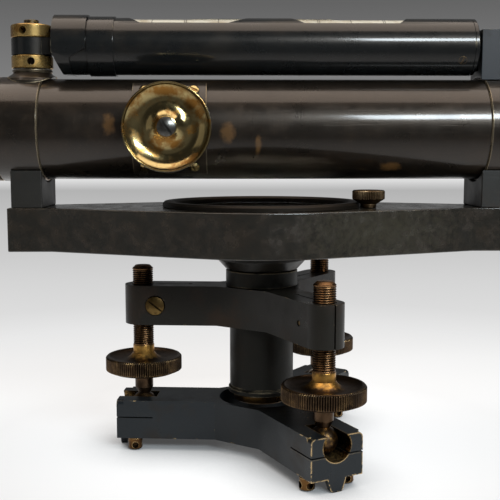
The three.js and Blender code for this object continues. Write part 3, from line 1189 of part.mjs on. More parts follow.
// Lower plate: three broad arms, each with a ball socket, a foot and two friction screws
const plateCuts = [solid(rod(plate.hole, plate.bottom - overrun, plate.top + overrun, fine))];
const plateFeet = [];
const socketBore = rodX(plate.socketRadius, plate.socketStart, plate.end + overrun, medium).translate(0, 0,
  plate.socketZ);
const footOutline = [
  [-foot.halfTop, plate.bottom + foot.rise], [-foot.halfTop, plate.bottom], [-foot.halfBottom, foot.round],
  [foot.round - foot.halfBottom, 0],
  [foot.halfBottom - foot.round, 0], [foot.halfBottom, foot.round], [foot.halfTop, plate.bottom],
  [foot.halfTop, plate.bottom + foot.rise],
];
const footBody = extrudedY(footOutline, plate.end - foot.depth, plate.end).rotateZ(-quarterTurn);
const lipCorner = plate.halfWidth - plate.lipRound;
const lipZ = plate.top - plate.lipRound;
for (const degrees of armAngles) {
  const pieces = [solid(socketBore)];
  for (const side of bothSides) {
    const [near, far] = [0, side * (plate.halfWidth + overrun)].sort((a, b) => a - b);
    pieces.push(solid(block(plate.slitStart, plate.end + overrun, near, far,
      plate.slitZ - plate.slitWidth / 2, plate.slitZ + plate.slitWidth / 2)));
    const [low, high] = [side * lipCorner, side * (plate.halfWidth + overrun)].sort((a, b) => a - b);
    const cornerBlock = solid(block(plate.lipStart, plate.end + overrun, low, high, lipZ,
      plate.top + overrun));
    const cornerRound = solid(rodX(plate.lipRound, 0, plate.end + 2 * overrun, coarse).translate(0,
      side * lipCorner, lipZ));
    pieces.push(cornerBlock.subtract(cornerRound));
    pieces.push(solid(rod(frictionScrew.hole, plate.bottom - overrun, frictionScrew.holeTop,
      drill).translate(
      frictionScrew.reach, side * frictionScrew.side, 0,
    )));
  }
  plateCuts.push(...pieces.map((piece) => onArm(piece, degrees)));
  plateFeet.push(onArm(solid(footBody), degrees));
}
const plateBody = solid(extruded(threeArms(plate.halfWidth, plate.flat, plate.end, 0), plate.bottom,
  plate.top));
place("lower_plate", geometryOf(cut(join(plateBody, ...plateFeet), ...plateCuts)), paint.plateGrey);

const frictionHeadHoles = bothSides.map((side) => solid(
  rod(frictionScrew.headHole, -frictionScrew.headRadius - overrun, frictionScrew.headRadius + overrun,
    drill)
    .rotateX(quarterTurn).rotateZ(side > 0 ? quarterTurn : 0).translate(0, 0, frictionScrew.holeZ),
));
armAngles.forEach((degrees, i) => {
  for (const side of bothSides) {
    const body = solid(turned([
      [0, frictionScrew.headBottom], [frictionScrew.headRadius - frictionScrew.edge,
        frictionScrew.headBottom],
      [frictionScrew.headRadius, frictionScrew.headBottom + frictionScrew.edge],
      [frictionScrew.headRadius, frictionScrew.headTop],
      [frictionScrew.shank, frictionScrew.headTop], [frictionScrew.shank, frictionScrew.top],
      [0, frictionScrew.top],
    ], coarse));
    const geometry = geometryOf(cut(body, ...frictionHeadHoles));
    geometry.translate(frictionScrew.reach, side * frictionScrew.side, 0).rotateZ(radians(degrees));
    place(`friction_screw_${armNames[i]}_${side < 0 ? "a" : "b"}`, geometry, paint.wornBrass);
  }
});

export default group;
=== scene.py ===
# %% [markdown]
# A surveyor's dumpy level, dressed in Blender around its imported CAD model.
# The CAD model gives every size and every joint. This script gives the looks: finer turned pieces,
# softened edges, screw threads, milled rims, lacquer, worn brass, a studio floor and the camera.

# %% Load the frame
import json
import math

import bmesh
import bpy
import numpy as np
from mathutils import Matrix, Vector


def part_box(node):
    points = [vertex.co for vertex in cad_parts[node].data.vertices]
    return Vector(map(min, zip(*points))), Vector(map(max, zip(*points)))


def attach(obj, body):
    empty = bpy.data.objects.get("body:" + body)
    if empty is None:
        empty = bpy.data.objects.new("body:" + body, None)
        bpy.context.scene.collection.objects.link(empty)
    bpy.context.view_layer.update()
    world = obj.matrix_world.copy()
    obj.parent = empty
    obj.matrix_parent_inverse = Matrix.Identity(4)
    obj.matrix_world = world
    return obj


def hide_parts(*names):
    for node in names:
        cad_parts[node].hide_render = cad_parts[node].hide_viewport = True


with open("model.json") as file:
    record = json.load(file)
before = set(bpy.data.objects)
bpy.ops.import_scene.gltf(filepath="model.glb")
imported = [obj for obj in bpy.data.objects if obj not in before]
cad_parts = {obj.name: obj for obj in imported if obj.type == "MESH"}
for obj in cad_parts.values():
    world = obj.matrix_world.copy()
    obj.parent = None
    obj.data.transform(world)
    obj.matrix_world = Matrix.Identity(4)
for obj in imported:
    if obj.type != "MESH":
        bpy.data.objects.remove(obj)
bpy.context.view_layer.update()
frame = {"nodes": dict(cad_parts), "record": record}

nodes, record = frame["nodes"], frame["record"]
scene = bpy.context.scene
scene.view_settings.view_transform = "Standard"
MM = 0.001


def mm(x, y, z):
    """A place or a size given in millimetres."""
    return Vector((x, y, z)) * MM


def in_scene(name, data):
    """A new object around a mesh, lamp or camera, linked into the scene."""
    made = bpy.data.objects.new(name, data)
    scene.collection.objects.link(made)
    return made


# %% [markdown]
# The camera stands where the photographer's stood. Its place and lens were fitted to edges of the
# object whose sizes are known, so that the model and the picture line up.

# %% Camera
lens_data = bpy.data.cameras.new("studio_camera")
lens_data.lens = 62.487
lens_data.sensor_width = 36.0
lens_data.clip_start = 10 * MM
camera = in_scene("studio_camera", lens_data)
camera.location = mm(-14.003, -395.96, 135.405)
camera.rotation_euler = [math.radians(a) for a in (83.719, 0.0, -1.25)]
scene.camera = camera
print("camera", round(camera.location.length, 3), "m from the origin, lens", lens_data.lens, "mm")

# %% [markdown]
# A material is built from nodes. These short helpers place a node, set its sockets and link it,
# so that each finish below reads as a recipe and not as a list of clicks.


# %% Node helpers
class Recipe:
    """Places nodes in one node tree and links them."""

    def __init__(self, tree):
        self.tree = tree
        self.column = 0

    def add(self, kind, values=None, **settings):
        node = self.tree.nodes.new(kind)
        self.column += 1
        node.location = (self.column * 180, 0)
        for key, value in settings.items():
            setattr(node, key, value)
        for key, value in (values or {}).items():
            self.feed(node.inputs[key], value)
        return node

    def feed(self, socket, value):
        if isinstance(value, bpy.types.NodeSocket):
            self.tree.links.new(value, socket)
        elif isinstance(value, bpy.types.Node):
            self.tree.links.new(value.outputs[0], socket)
        else:
            socket.default_value = value

    def math(self, operation, a, b=0.0, clamp=False):
        return self.add("ShaderNodeMath", {0: a, 1: b}, operation=operation, use_clamp=clamp).outputs[0]

    def vector(self, operation, a, b=(0, 0, 0)):
        """Vector arithmetic. A length or a dot product comes out as a plain number."""
        node = self.add("ShaderNodeVectorMath", {0: a, 1: b}, operation=operation)
        return node.outputs["Value" if operation in ("LENGTH", "DOT_PRODUCT") else "Vector"]

    def blend(self, factor, a, b):
        node = self.add("ShaderNodeMix", data_type="RGBA")
        self.feed(node.inputs[0], factor)
        self.feed(node.inputs[6], a)
        self.feed(node.inputs[7], b)
        return node.outputs[2]

    def between(self, value, low, high, to_low=0.0, to_high=1.0):
        """A value mapped from one range to another, and held inside it."""
        node = self.add("ShaderNodeMapRange", {0: value, 1: low, 2: high, 3: to_low, 4: to_high})
        node.clamp = True
        return node.outputs[0]

    def ramp(self, value, stops):
        """Greys along a value: stops are (place from 0 to 1, grey)."""
        node = self.add("ShaderNodeValToRGB", {0: value})
        marks = node.color_ramp.elements
        for place, grey in stops:
            marks.new(place).color = (grey, grey, grey, 1)
        marks.remove(marks[0])
        marks.remove(marks[-1])
        return node.outputs[0]

    def seen(self):
        """1 for the rays that show a thing to the eye: straight, mirrored or through glass."""
        rays = self.add("ShaderNodeLightPath").outputs
        mirrored = self.math("MAXIMUM", rays["Is Glossy Ray"], rays["Is Transmission Ray"])
        return self.math("MAXIMUM", rays["Is Camera Ray"], mirrored)

    def group(self, tree, values):
        """A node group placed in the material, with its own values. Gives its outputs."""
        return self.add("ShaderNodeGroup", dict(values), node_tree=tree).outputs

    def place(self):
        """The place on the piece, in metres, in the object's own frame."""
        return self.add("ShaderNodeTexCoord").outputs["Object"]

    def noise(self, scale, detail=4.0, roughness=0.55, stretch=(1, 1, 1), shift=0.0):
        spot = self.add("ShaderNodeMapping", {0: self.place(), 1: (shift,) * 3, 3: stretch})
        return self.add("ShaderNodeTexNoise", {"Vector": spot, "Scale": scale, "Detail": detail,
                                               "Roughness": roughness}).outputs[0]


def new_group(name, inputs, outputs):
    """A shader node group with named sockets, and the recipe that fills it."""
    tree = bpy.data.node_groups.new(name, "ShaderNodeTree")
    for label, kind, default in inputs:
        socket = tree.interface.new_socket(label, in_out="INPUT", socket_type=kind)
        if default is not None:
            socket.default_value = default
    for label, kind in outputs:
        tree.interface.new_socket(label, in_out="OUTPUT", socket_type=kind)
    recipe = Recipe(tree)
    entry = recipe.add("NodeGroupInput")
    leave = recipe.add("NodeGroupOutput")
    return tree, recipe, entry.outputs, leave.inputs


def blank_material(name):
    """A material with an empty node tree, and the recipe that fills it."""
    made = bpy.data.materials.new(name)
    made.use_nodes = True
    made.node_tree.nodes.clear()
    return made, Recipe(made.node_tree)


# %% [markdown]
# Light. One wide soft lamp hangs overhead and gives the brown band along the top of the tubes. A
# cooler lamp in front and to the right gives the sharp streak. A picture of a studio wrapped round
# the world could do the same, but three lamps can be moved and measured one by one.


# %% Lamps
def lamp(name, spot, aim, width, height, power, colour):
    data = bpy.data.lights.new(name, "AREA")
    data.shape = "RECTANGLE"
    data.size, data.size_y = width, height
    data.energy = power
    data.color = colour
    made = in_scene(name, data)
    made.location = spot
    made.rotation_euler = (Vector(aim) - Vector(spot)).to_track_quat("-Z", "Y").to_euler()
    print(name, width, "x", height, "m,", power, "W")


lamp("overhead_softbox", (0.0, -0.04, 1.25), (0.0, -0.04, 0.0), 1.9, 1.08, 17.0, (1.0, 0.86, 0.74))
lamp("front_softbox", (0.64, -1.15, 0.79), (0.1, 0.0, 0.15), 0.85, 0.24, 29.0, (0.82, 0.93, 1.0))
lamp("left_fill", (-1.4, -0.9, 0.5), (0.0, 0.0, 0.12), 0.9, 0.9, 0.6, (1.0, 0.95, 0.88))

# %% [markdown]
# The world is the room round the instrument. It lights the object only a little, so that dark lacquer
# stays dark. What the eye sees of it, straight or mirrored in the metal, is a grey wall that darkens
# upwards and towards the camera's own side.

# %% World
ROOM_COLOUR, ROOM_STRENGTH = (0.85, 0.93, 1.0, 1), 0.12
WALL_FOOT, WALL_HEAD = -0.02, 0.18
WALL_STOPS = ((0.1, 0.37), (0.53, 0.2), (0.93, 0.127))

world = bpy.data.worlds.new("studio_world")
scene.world = world
world.use_nodes = True
world.node_tree.nodes.clear()
sky = Recipe(world.node_tree)
ways = sky.add("ShaderNodeSeparateXYZ", {0: sky.add("ShaderNodeTexCoord").outputs["Generated"]}).outputs
wall = sky.ramp(sky.between(ways["Z"], WALL_FOOT, WALL_HEAD), WALL_STOPS)
behind = sky.between(ways["Y"], -0.4, 0.4, 0.3, 1.0)
room = sky.add("ShaderNodeBackground", {"Color": ROOM_COLOUR, "Strength": ROOM_STRENGTH})
view_wall = sky.add("ShaderNodeBackground", {"Color": wall, "Strength": behind})
mixed = sky.add("ShaderNodeMixShader", {0: sky.seen(), 1: room, 2: view_wall})
sky.add("ShaderNodeOutputWorld", {0: mixed})
print("world with", len(world.node_tree.nodes), "nodes")

# %% [markdown]
# The floor is one wide white disc. Near the object a matt share takes the lamps' shadow, and a
# painted contact shadow from ambient occlusion darkens the floor's own glow. A painted pool of light
# brightens the paper round the base. Further out the floor glows by itself, for the eye alone, and a
# ramp fades it into the grey wall as studio paper does. A stronger lamp could whiten the floor too,
# but it would also wash out the dark lacquer.

# %% Floor
FLOOR_RADIUS = 9.0
FADE_NEAR, FADE_FAR, FADE_SHIFT = 0.1, 6.2, 0.2
FLOOR_GREYS = ((-0.1, 0.70), (0.0, 0.78), (0.07, 0.82), (0.17, 0.80), (0.31, 0.73), (0.54, 0.66),
               (0.76, 0.60), (2.9, 0.45), (6.0, 0.38))
CONTACT_REACH = 45 * MM
PAINTED_POOL_WHITE, DARK_FRONT, PLAIN_PAPER = (0.97, 0.97, 0.97, 1), (0.06, 0.06, 0.06, 1), (0.8, 0.8, 0.8, 1)

floor_mesh = bpy.data.meshes.new("studio_floor")
ring = [(FLOOR_RADIUS * math.cos(a), FLOOR_RADIUS * math.sin(a), 0.0)
        for a in np.linspace(0, 2 * math.pi, 65)[:-1]]
floor_mesh.from_pydata(ring, [], [list(range(len(ring)))])
floor = in_scene("studio_floor", floor_mesh)

paper, mix = blank_material("studio_paper")
spot = mix.add("ShaderNodeSeparateXYZ", {0: mix.place()}).outputs
far = mix.vector("LENGTH", mix.place())
depth = mix.math("ADD", mix.math("MAXIMUM", spot["Y"], 0.01 - FADE_SHIFT), FADE_SHIFT)
low, high = math.log2(FADE_NEAR), math.log2(FADE_FAR)
stops = [(min(1.0, max(0.0, (math.log2(place + FADE_SHIFT) - low) / (high - low))), grey)
         for place, grey in FLOOR_GREYS]
fade = mix.ramp(mix.between(mix.math("LOGARITHM", depth, 2.0), low, high), stops)
# Painted light: the paper is blended towards white in a pool round the base.
painted_light_pool = mix.between(far, 0.05, 0.13, 1.0, 0.0)
pale = mix.blend(mix.math("MULTIPLY", painted_light_pool, 0.8), fade, PAINTED_POOL_WHITE)
pale = mix.blend(mix.between(spot["Y"], -0.1, -0.4, 0.0, 0.9), pale, DARK_FRONT)
near = mix.between(far, 0.1, 0.3, 0.3, 0.0)
matt = mix.add("ShaderNodeBsdfDiffuse", {"Color": pale})
# Painted shadow: ambient occlusion dims the glow of the paper next to the object.
open_air = mix.add("ShaderNodeAmbientOcclusion", {"Distance": CONTACT_REACH}, samples=12).outputs["AO"]
shade = mix.between(open_air, 0.25, 0.9, 0.08, 1.0)
# The glow is also made stronger near the object, which is painted light too.
strength = mix.math("MULTIPLY", mix.between(far, 0.12, 0.4, 1.2, 1.0), shade)
lit = mix.add("ShaderNodeEmission", {"Color": pale, "Strength": strength})
plain = mix.add("ShaderNodeBsdfDiffuse", {"Color": PLAIN_PAPER})
for_eye = mix.add("ShaderNodeMixShader", {0: near, 1: lit, 2: matt})
mixed = mix.add("ShaderNodeMixShader", {0: mix.seen(), 1: plain, 2: for_eye})
mix.add("ShaderNodeOutputMaterial", {0: mixed})
floor_mesh.materials.append(paper)
print("floor", 2 * FLOOR_RADIUS, "m across, full contact shadow within", CONTACT_REACH / MM, "mm")

# %% [markdown]
# Every piece takes the place of a node of the CAD model and rides on the same body, so that it moves
# with the same joint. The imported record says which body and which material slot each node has.

# %% Where each node belongs
slot_of = {part["node"]: part["material_slot"] for part in record["subparts"]}
body_of = {node: body for body, members in record["behaviour"]["bodies"].items() for node in members}
X, Y, Z = Vector((1, 0, 0)), Vector((0, 1, 0)), Vector((0, 0, 1))


def middle(node):
    low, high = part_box(node)
    return (Vector(low) + Vector(high)) / 2


def size_mm(node):
    low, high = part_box(node)
    return [round((b - a) / MM, 1) for a, b in zip(low, high)]


# %% [markdown]
# Most pieces of this instrument were turned on a lathe. A turned piece is an outline swept round an
# axis. The outline is read off the CAD node itself, so that the fine piece fits where the node was,
# and it is then swept in many more steps. The corners are eased a little, because a real edge is
# never quite sharp and an eased one catches the light.

# %% Read a turned outline
SAME_PLACE, SAME_TURN, ON_AXIS = 6, 0.004, 1e-5


def corners_of(name):
    """The node's own corners, each one once, and its edges as pairs of them."""
    mesh = nodes[name].data
    spots = np.array([v.co[:] for v in mesh.vertices])
    spots, index = np.unique(np.round(spots, SAME_PLACE), axis=0, return_inverse=True)
    index = index.reshape(-1)
    edges = {tuple(sorted((index[a], index[b]))) for a, b in (e.vertices for e in mesh.edges)}
    return spots, {e for e in edges if e[0] != e[1]}


def axis_frame(axis):
    """Two directions across an axis, and the axis."""
    side = Y if abs(axis.dot(Y)) < 0.9 else X
    across = side.cross(axis).normalized()
    return across, axis.cross(across).normalized(), axis


def outline_at(spots, edges, turn):
    """The (radius, height) corners in the half-plane at one turn, in order round the outline."""
    angle = np.angle(np.exp(1j * (np.arctan2(spots[:, 1], spots[:, 0]) - turn)))
    near = np.where((np.abs(angle) < SAME_TURN) & (np.hypot(spots[:, 0], spots[:, 1]) > ON_AXIS))[0]
    flat = {int(i): (float(np.hypot(*spots[i, :2])), float(spots[i, 2])) for i in near}
    links = {i: set() for i in flat}
    for a, b in edges:
        if a in links and b in links:
            links[a].add(b)
            links[b].add(a)
    loose = {}
    for i in sorted(flat, key=lambda k: -flat[k][0]):
        if len(links[i]) < 2:
            loose.setdefault(round(flat[i][1], SAME_PLACE), []).append(i)
    ends = []
    for level in loose.values():
        while len(level) > 1:
            a, b = level.pop(0), level.pop(0)
            links[a].add(b)
            links[b].add(a)
        ends += level
    if not flat or any(len(link) > 2 for link in links.values()) or len(ends) not in (0, 2):
        return None
    start = min(ends, key=lambda i: flat[i][1]) if ends else min(flat, key=lambda i: flat[i])
    path, last = [start], None
    while True:
        ahead = [i for i in links[path[-1]] if i != last and i not in path[1:]]
        ahead = [i for i in ahead if i != start or len(path) > 2]
        if not ahead or ahead[0] == start:
            break
        last = path[-1]
        path.append(ahead[0])
    points = [flat[i] for i in path]
    if ends:
        points = [(0.0, points[0][1])] + points + [(0.0, points[-1][1])]
    return points if len(path) == len(flat) else None


def outline_of(name, axis, centre=None):
    """The outline of a turned node as (radius, height) corners, and a point on its axis."""
    spots, edges = corners_of(name)
    centre = Vector(spots.mean(axis=0)) if centre is None else centre
    across, up, along = axis_frame(axis)
    local = (spots - np.array(centre)) @ np.array([across, up, along]).T
    turns = np.unique(np.round(np.arctan2(local[:, 1], local[:, 0]), 2))
    found = [outline_at(local, edges, turn) for turn in turns]
    found = [points for points in found if points]
    if not found:
        raise ValueError(f"no whole outline on {name}")
    counts = [len(points) for points in found]
    usual = max(set(counts), key=counts.count)
    return found[counts.index(usual)], centre


def eased(points, size=0.2 * MM, steps=3, least=0.35):
    """The outline with its outer corners rounded. Corners that face inwards stay as they are."""
    open_ends = points[0][0] == 0.0
    area = sum(a[0] * b[1] - b[0] * a[1] for a, b in zip(points, points[1:] + points[:1]))
    made = []
    for i, spot in enumerate(points):
        if open_ends and i in (0, len(points) - 1):
            made.append(spot)
            continue
        before, after = Vector(points[i - 1]), Vector(points[(i + 1) % len(points)])
        here = Vector(spot)
        inward, outward = here - before, after - here
        bend = inward.angle_signed(outward, 0.0) * (-1 if area > 0 else 1)
        if bend < least:
            made.append(spot)
            continue
        reach = min(size * math.tan(bend / 2), inward.length * 0.4, outward.length * 0.4)
        first, last = here - inward.normalized() * reach, here + outward.normalized() * reach
        for k in range(steps + 1):
            t = k / steps
            made.append(tuple(first * (1 - t) ** 2 + here * 2 * t * (1 - t) + last * t * t))
    return made


# %% [markdown]
# Sweeping is one formula: each outline point goes round the axis in equal steps. A ripple may add
# to the radius on the way, which is how the milled rims and the screw threads are cut.


# %% Sweep an outline
def new_piece(name, verts, faces, weld=None):
    """A piece from its corners and faces, all facing outwards. weld joins corners that near."""
    mesh = bpy.data.meshes.new(name)
    mesh.from_pydata([tuple(v) for v in verts], [], faces)
    shape = bmesh.new()
    shape.from_mesh(mesh)
    if weld:
        bmesh.ops.remove_doubles(shape, verts=shape.verts, dist=weld)
    bmesh.ops.recalc_face_normals(shape, faces=shape.faces)
    shape.to_mesh(mesh)
    shape.free()
    return in_scene(name, mesh)


def swept(name, points, axis, centre, segments=128, ripple=None):
    """A piece turned from an outline. ripple(turn, radius, height) gives what to add to the radius."""
    across, up, along = (np.array(v) for v in axis_frame(axis))
    turn = np.linspace(0, 2 * math.pi, segments, endpoint=False)
    rows, verts = [], []
    for radius, height in points:
        if radius < ON_AXIS:
            rows.append([len(verts)])
            verts.append(np.array(centre) + along * height)
            continue
        reach = radius + (ripple(turn, radius, height) if ripple else 0.0) * np.ones(segments)
        ring = (np.array(centre) + along * height + np.outer(reach * np.cos(turn), across)
                + np.outer(reach * np.sin(turn), up))
        rows.append(list(range(len(verts), len(verts) + segments)))
        verts.extend(ring)
    faces = []
    closed = points[0][0] > ON_AXIS
    for a, b in zip(rows, rows[1:] + rows[:1] if closed else rows[1:]):
        for k in range(segments):
            n = (k + 1) % segments
            if len(a) == 1 and len(b) > 1:
                faces.append((a[0], b[k], b[n]))
            elif len(b) == 1 and len(a) > 1:
                faces.append((a[k], b[0], a[n]))
            elif len(a) > 1:
                faces.append((a[k], b[k], b[n], a[n]))
    return new_piece(name, verts, faces)


def smooth(made, angle=40.0):
    """Smooth shading that keeps flats flat and real edges crisp."""
    made.data.polygons.foreach_set("use_smooth", [True] * len(made.data.polygons))
    made.data.set_sharp_from_angle(angle=math.radians(angle))
    weighted = made.modifiers.new("flat_faces_stay_flat", "WEIGHTED_NORMAL")
    weighted.keep_sharp = True
    return made


def stands_for(made, node):
    """The piece takes the node's place: its body, its material slot, its finish."""
    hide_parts(node)
    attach(made, body_of[node])
    return finished(made, slot_of[node])


def finished(made, slot, finish=None):
    """The piece takes a material slot of the record, with the slot's finish or one of its own."""
    made.data.materials.clear()
    made.data.materials.append(finish or finishes[slot])
    return made


def turned(node, axis, size=0.2 * MM, segments=128, ripple=None, centre=None, cuts=(), shape=None,
           **change):
    """The fine form of a turned node. cuts are cutters for its slots and holes, shape may change the
    outline, and change is what its finish has otherwise than the slot's."""
    points, centre = outline_of(node, axis, centre)
    if shape:
        points = shape(points)
    made = swept(f"{node}_fine", eased(points, size), axis, centre, segments, ripple)
    for cutter in cuts:
        carve(made, cutter)
    stands_for(smooth(made), node)
    slot = slot_of[node]
    if slot in looks:
        finished(made, slot, metal(f"{node}_{slot}", slot, axis, centre, **change))
    return made


# %% [markdown]
# Slots, capstan holes and windows are cut as on the real object: with a tool that is taken away
# again. The tool is a small body, and a Boolean modifier subtracts it.


# %% Cutting tools
def settle(made):
    """Turns the piece's modifiers into plain mesh."""
    bpy.context.view_layer.update()
    ready = bpy.data.meshes.new_from_object(made.evaluated_get(bpy.context.evaluated_depsgraph_get()))
    made.modifiers.clear()
    made.data = ready


def carve(made, cutter):
    step = made.modifiers.new("cut", "BOOLEAN")
    step.operation = "DIFFERENCE"
    step.solver = "EXACT"
    step.object = cutter
    settle(made)
    bpy.data.objects.remove(cutter)


def box_at(centre, along, across, length, width, height):
    """Corners and faces of a box. along and across are directions, and centre is its middle."""
    up = along.cross(across).normalized()
    verts = [centre + along * (i * length / 2) + across * (j * width / 2) + up * (k * height / 2)
             for i in (-1, 1) for j in (-1, 1) for k in (-1, 1)]
    return verts, [(0, 1, 3, 2), (4, 6, 7, 5), (0, 4, 5, 1), (2, 3, 7, 6), (0, 2, 6, 4), (1, 5, 7, 3)]


def bar(*measures):
    """A box-shaped cutter."""
    return new_piece("cutter", *box_at(*measures))


def drill(centre, along, radius, length):
    """A round cutter, with its middle at centre."""
    points = [(0.0, -length / 2), (radius, -length / 2), (radius, length / 2), (0.0, length / 2)]
    return swept("cutter", points, along, centre, 32)


def crosswise(axis, turn):
    """A direction across an axis, turned by an angle."""
    across, up, _ = axis_frame(axis)
    return across * math.cos(turn) + up * math.sin(turn)


# %% [markdown]
# Castings keep the CAD node's shape. Its triangles are joined back into whole faces, and a Bevel
# modifier then breaks each sharp edge, as a file would.


# %% Castings
def cast(node, edge=0.3 * MM, segments=2, **change):
    """The node's own shape with broken edges. edge is the width of the bevel."""
    made_mesh = bpy.data.meshes.new(f"{node}_cast")
    shape = bmesh.new()
    shape.from_mesh(nodes[node].data)
    bmesh.ops.remove_doubles(shape, verts=shape.verts, dist=1e-6)
    bmesh.ops.dissolve_limit(shape, angle_limit=math.radians(0.5), verts=shape.verts, edges=shape.edges)
    bmesh.ops.recalc_face_normals(shape, faces=shape.faces)
    shape.to_mesh(made_mesh)
    shape.free()
    made = in_scene(f"{node}_cast", made_mesh)
    made_mesh.polygons.foreach_set("use_smooth", [True] * len(made_mesh.polygons))
    bevel = made.modifiers.new("broken_edges", "BEVEL")
    bevel.width = edge
    bevel.segments = segments
    bevel.limit_method = "ANGLE"
    bevel.angle_limit = math.radians(30.0)
    bevel.harden_normals = True
    weighted = made.modifiers.new("flat_faces_stay_flat", "WEIGHTED_NORMAL")
    weighted.keep_sharp = True
    stands_for(made, node)
    if change:
        slot = slot_of[node]
        finished(made, slot, metal(f"{node}_{slot}", slot, **change))
    return made


# %% [markdown]
# The shared effects are shader node groups. Each gives a mask or a height, and the material decides
# what to do with it. Worn edges compare the surface's normal with the one that a rounded edge would
# have: they differ only near an edge, which is where hands and cloths rub the lacquer away.

# %% Worn edges
FLOAT, VECTOR = "NodeSocketFloat", "NodeSocketVector"
worn_edges, mix, given, out = new_group(
    "worn_edges", [("Radius", FLOAT, 0.0006), ("Patchiness", FLOAT, 100.0), ("Low", FLOAT, 0.5),
                   ("High", FLOAT, 0.65)], [("Mask", FLOAT)])
rounded = mix.add("ShaderNodeBevel", {"Radius": given["Radius"]}, samples=6)
own = mix.add("ShaderNodeNewGeometry").outputs["Normal"]
edge = mix.between(mix.vector("DOT_PRODUCT", rounded, own), 0.999, 0.93)
broken = mix.between(mix.noise(given["Patchiness"], 5.0, 0.65), given["Low"], given["High"])
mix.feed(out["Mask"], mix.math("MULTIPLY", edge, broken, clamp=True))
print(worn_edges.name, "has", len(worn_edges.nodes), "nodes")

# %% [markdown]
# Slots, holes, threads and inner corners are darkened: partly by dirt and old wax that no cloth
# reaches, partly by painted shade. Ambient occlusion finds such places, because little of the room is
# seen from them.

# %% Grime with painted shade, rubbed spots and lit spots
grime, mix, given, out = new_group("grime", [("Reach", FLOAT, 0.0015)], [("Mask", FLOAT)])
open_air = mix.add("ShaderNodeAmbientOcclusion", {"Distance": given["Reach"]}, samples=6).outputs["AO"]
mix.feed(out["Mask"], mix.between(open_air, 0.75, 0.35))

# One spot mask, for rubbed places and for spots of painted light.
rubbed_and_lit_spot, mix, given, out = new_group("rubbed_and_lit_spot", [("Spot", VECTOR, None), ("Size", VECTOR, None)],
                                         [("Mask", FLOAT)])
offset = mix.vector("DIVIDE", mix.vector("SUBTRACT", mix.place(), given["Spot"]), given["Size"])
away = mix.vector("LENGTH", offset)
ragged = mix.math("ADD", away, mix.math("MULTIPLY", mix.noise(450.0, 4.0, 0.6), 1.2))
mix.feed(out["Mask"], mix.between(ragged, 1.5, 1.0))

# %% [markdown]
# Tarnish is uneven: wide clouds with smaller specks inside them. Low and High say where the noise
# starts to count and where it is full, so the same group makes faint clouds or hard-edged patches.

# %% Tarnish
tarnish, mix, given, out = new_group(
    "tarnish", [("Size", FLOAT, 60.0), ("Low", FLOAT, 0.45), ("High", FLOAT, 0.62)],
    [("Mask", FLOAT), ("Specks", FLOAT)])
wide = mix.noise(given["Size"], 6.0, 0.62)
mix.feed(out["Mask"], mix.between(wide, given["Low"], given["High"]))
small = mix.noise(mix.math("MULTIPLY", given["Size"], 48.0), 1.0, 0.5, shift=0.3)
mix.feed(out["Specks"], mix.between(small, 0.66, 0.76))

# %% [markdown]
# Grain is what is left when everything else is smooth: a fine unevenness of the casting or the paint,
# and hair scratches that run along the telescope, the way a cloth is drawn. Sheen makes some places
# duller than others.

# %% Grain
SCRATCH_STRETCH = (0.06, 1.0, 1.0)
grain, mix, given, out = new_group(
    "grain", [("Fineness", FLOAT, 2600.0)], [("Height", FLOAT), ("Sheen", FLOAT)])
fine = mix.noise(given["Fineness"], 3.0, 0.6)
coarser = mix.math("MULTIPLY", given["Fineness"], 0.35)
scratch = mix.noise(coarser, 2.0, 0.5, stretch=SCRATCH_STRETCH, shift=0.1)
hair = mix.between(scratch, 0.62, 0.7)
mix.feed(out["Height"], mix.math("SUBTRACT", fine, mix.math("MULTIPLY", hair, 0.6)))
mix.feed(out["Sheen"], mix.between(mix.noise(90.0, 4.0, 0.6, shift=0.7), 0.3, 0.7))

# %% [markdown]
# Much on this instrument depends on how far a spot lies from an axis: the rings that a lathe leaves,
# the crests of a thread, the wall of a bored socket. One group measures the way along an axis and the
# way out from it. The rings follow the sum of the two, so they show on sides and on flat ends alike.

# %% Distance from an axis, and turning marks
from_axis, mix, given, out = new_group(
    "from_axis", [("Centre", VECTOR, None), ("Axis", VECTOR, None)], [("Along", FLOAT), ("Away", FLOAT)])
away = mix.vector("SUBTRACT", mix.place(), given["Centre"])
along, length = mix.vector("DOT_PRODUCT", away, given["Axis"]), mix.vector("LENGTH", away)
square = mix.math("SUBTRACT", mix.math("MULTIPLY", length, length), mix.math("MULTIPLY", along, along))
mix.feed(out["Along"], along)
mix.feed(out["Away"], mix.math("SQRT", mix.math("MAXIMUM", square, 0.0)))

turning_marks, mix, given, out = new_group(
    "turning_marks", [("Travel", FLOAT, 0.0), ("Rings", FLOAT, 3000.0)],
    [("Height", FLOAT), ("Tone", FLOAT)])
travel = given["Travel"]
rings = mix.add("ShaderNodeTexNoise", {"W": travel, "Scale": given["Rings"], "Detail": 3.0},
                noise_dimensions="1D")
wide_rings = mix.math("MULTIPLY", given["Rings"], 0.12)
broad = mix.add("ShaderNodeTexNoise", {"W": travel, "Scale": wide_rings, "Detail": 2.0},
                noise_dimensions="1D")
mix.feed(out["Height"], rings.outputs[0])
mix.feed(out["Tone"], mix.between(broad.outputs[0], 0.35, 0.65))
print("shared effects:", ", ".join(tree.name for tree in bpy.data.node_groups))

# %% [markdown]
# One recipe serves for every metal here, because they are all brass or steel at different stages:
# bright, tarnished, blackened or under old lacquer. It is built in layers: metal, tarnish, turning
# marks with painted shade in their grooves, rubbed and worn places and spots of painted light and
# painted reflection, and last dirt with painted shade in the hollows. One material for each piece,
# made by hand, would give the same looks with a hundred times the nodes to look after.


# %% Layers of a metal
# The last tone here is what hollows darken to: partly dirt, partly painted shade.
LINING, SOOT, DIRT_AND_SHADE = (0.24, 0.145, 0.05), (0.02, 0.013, 0.008), (0.006, 0.005, 0.004)
HANDLING = 0.3


def colour(triple):
    return (*triple, 1.0)


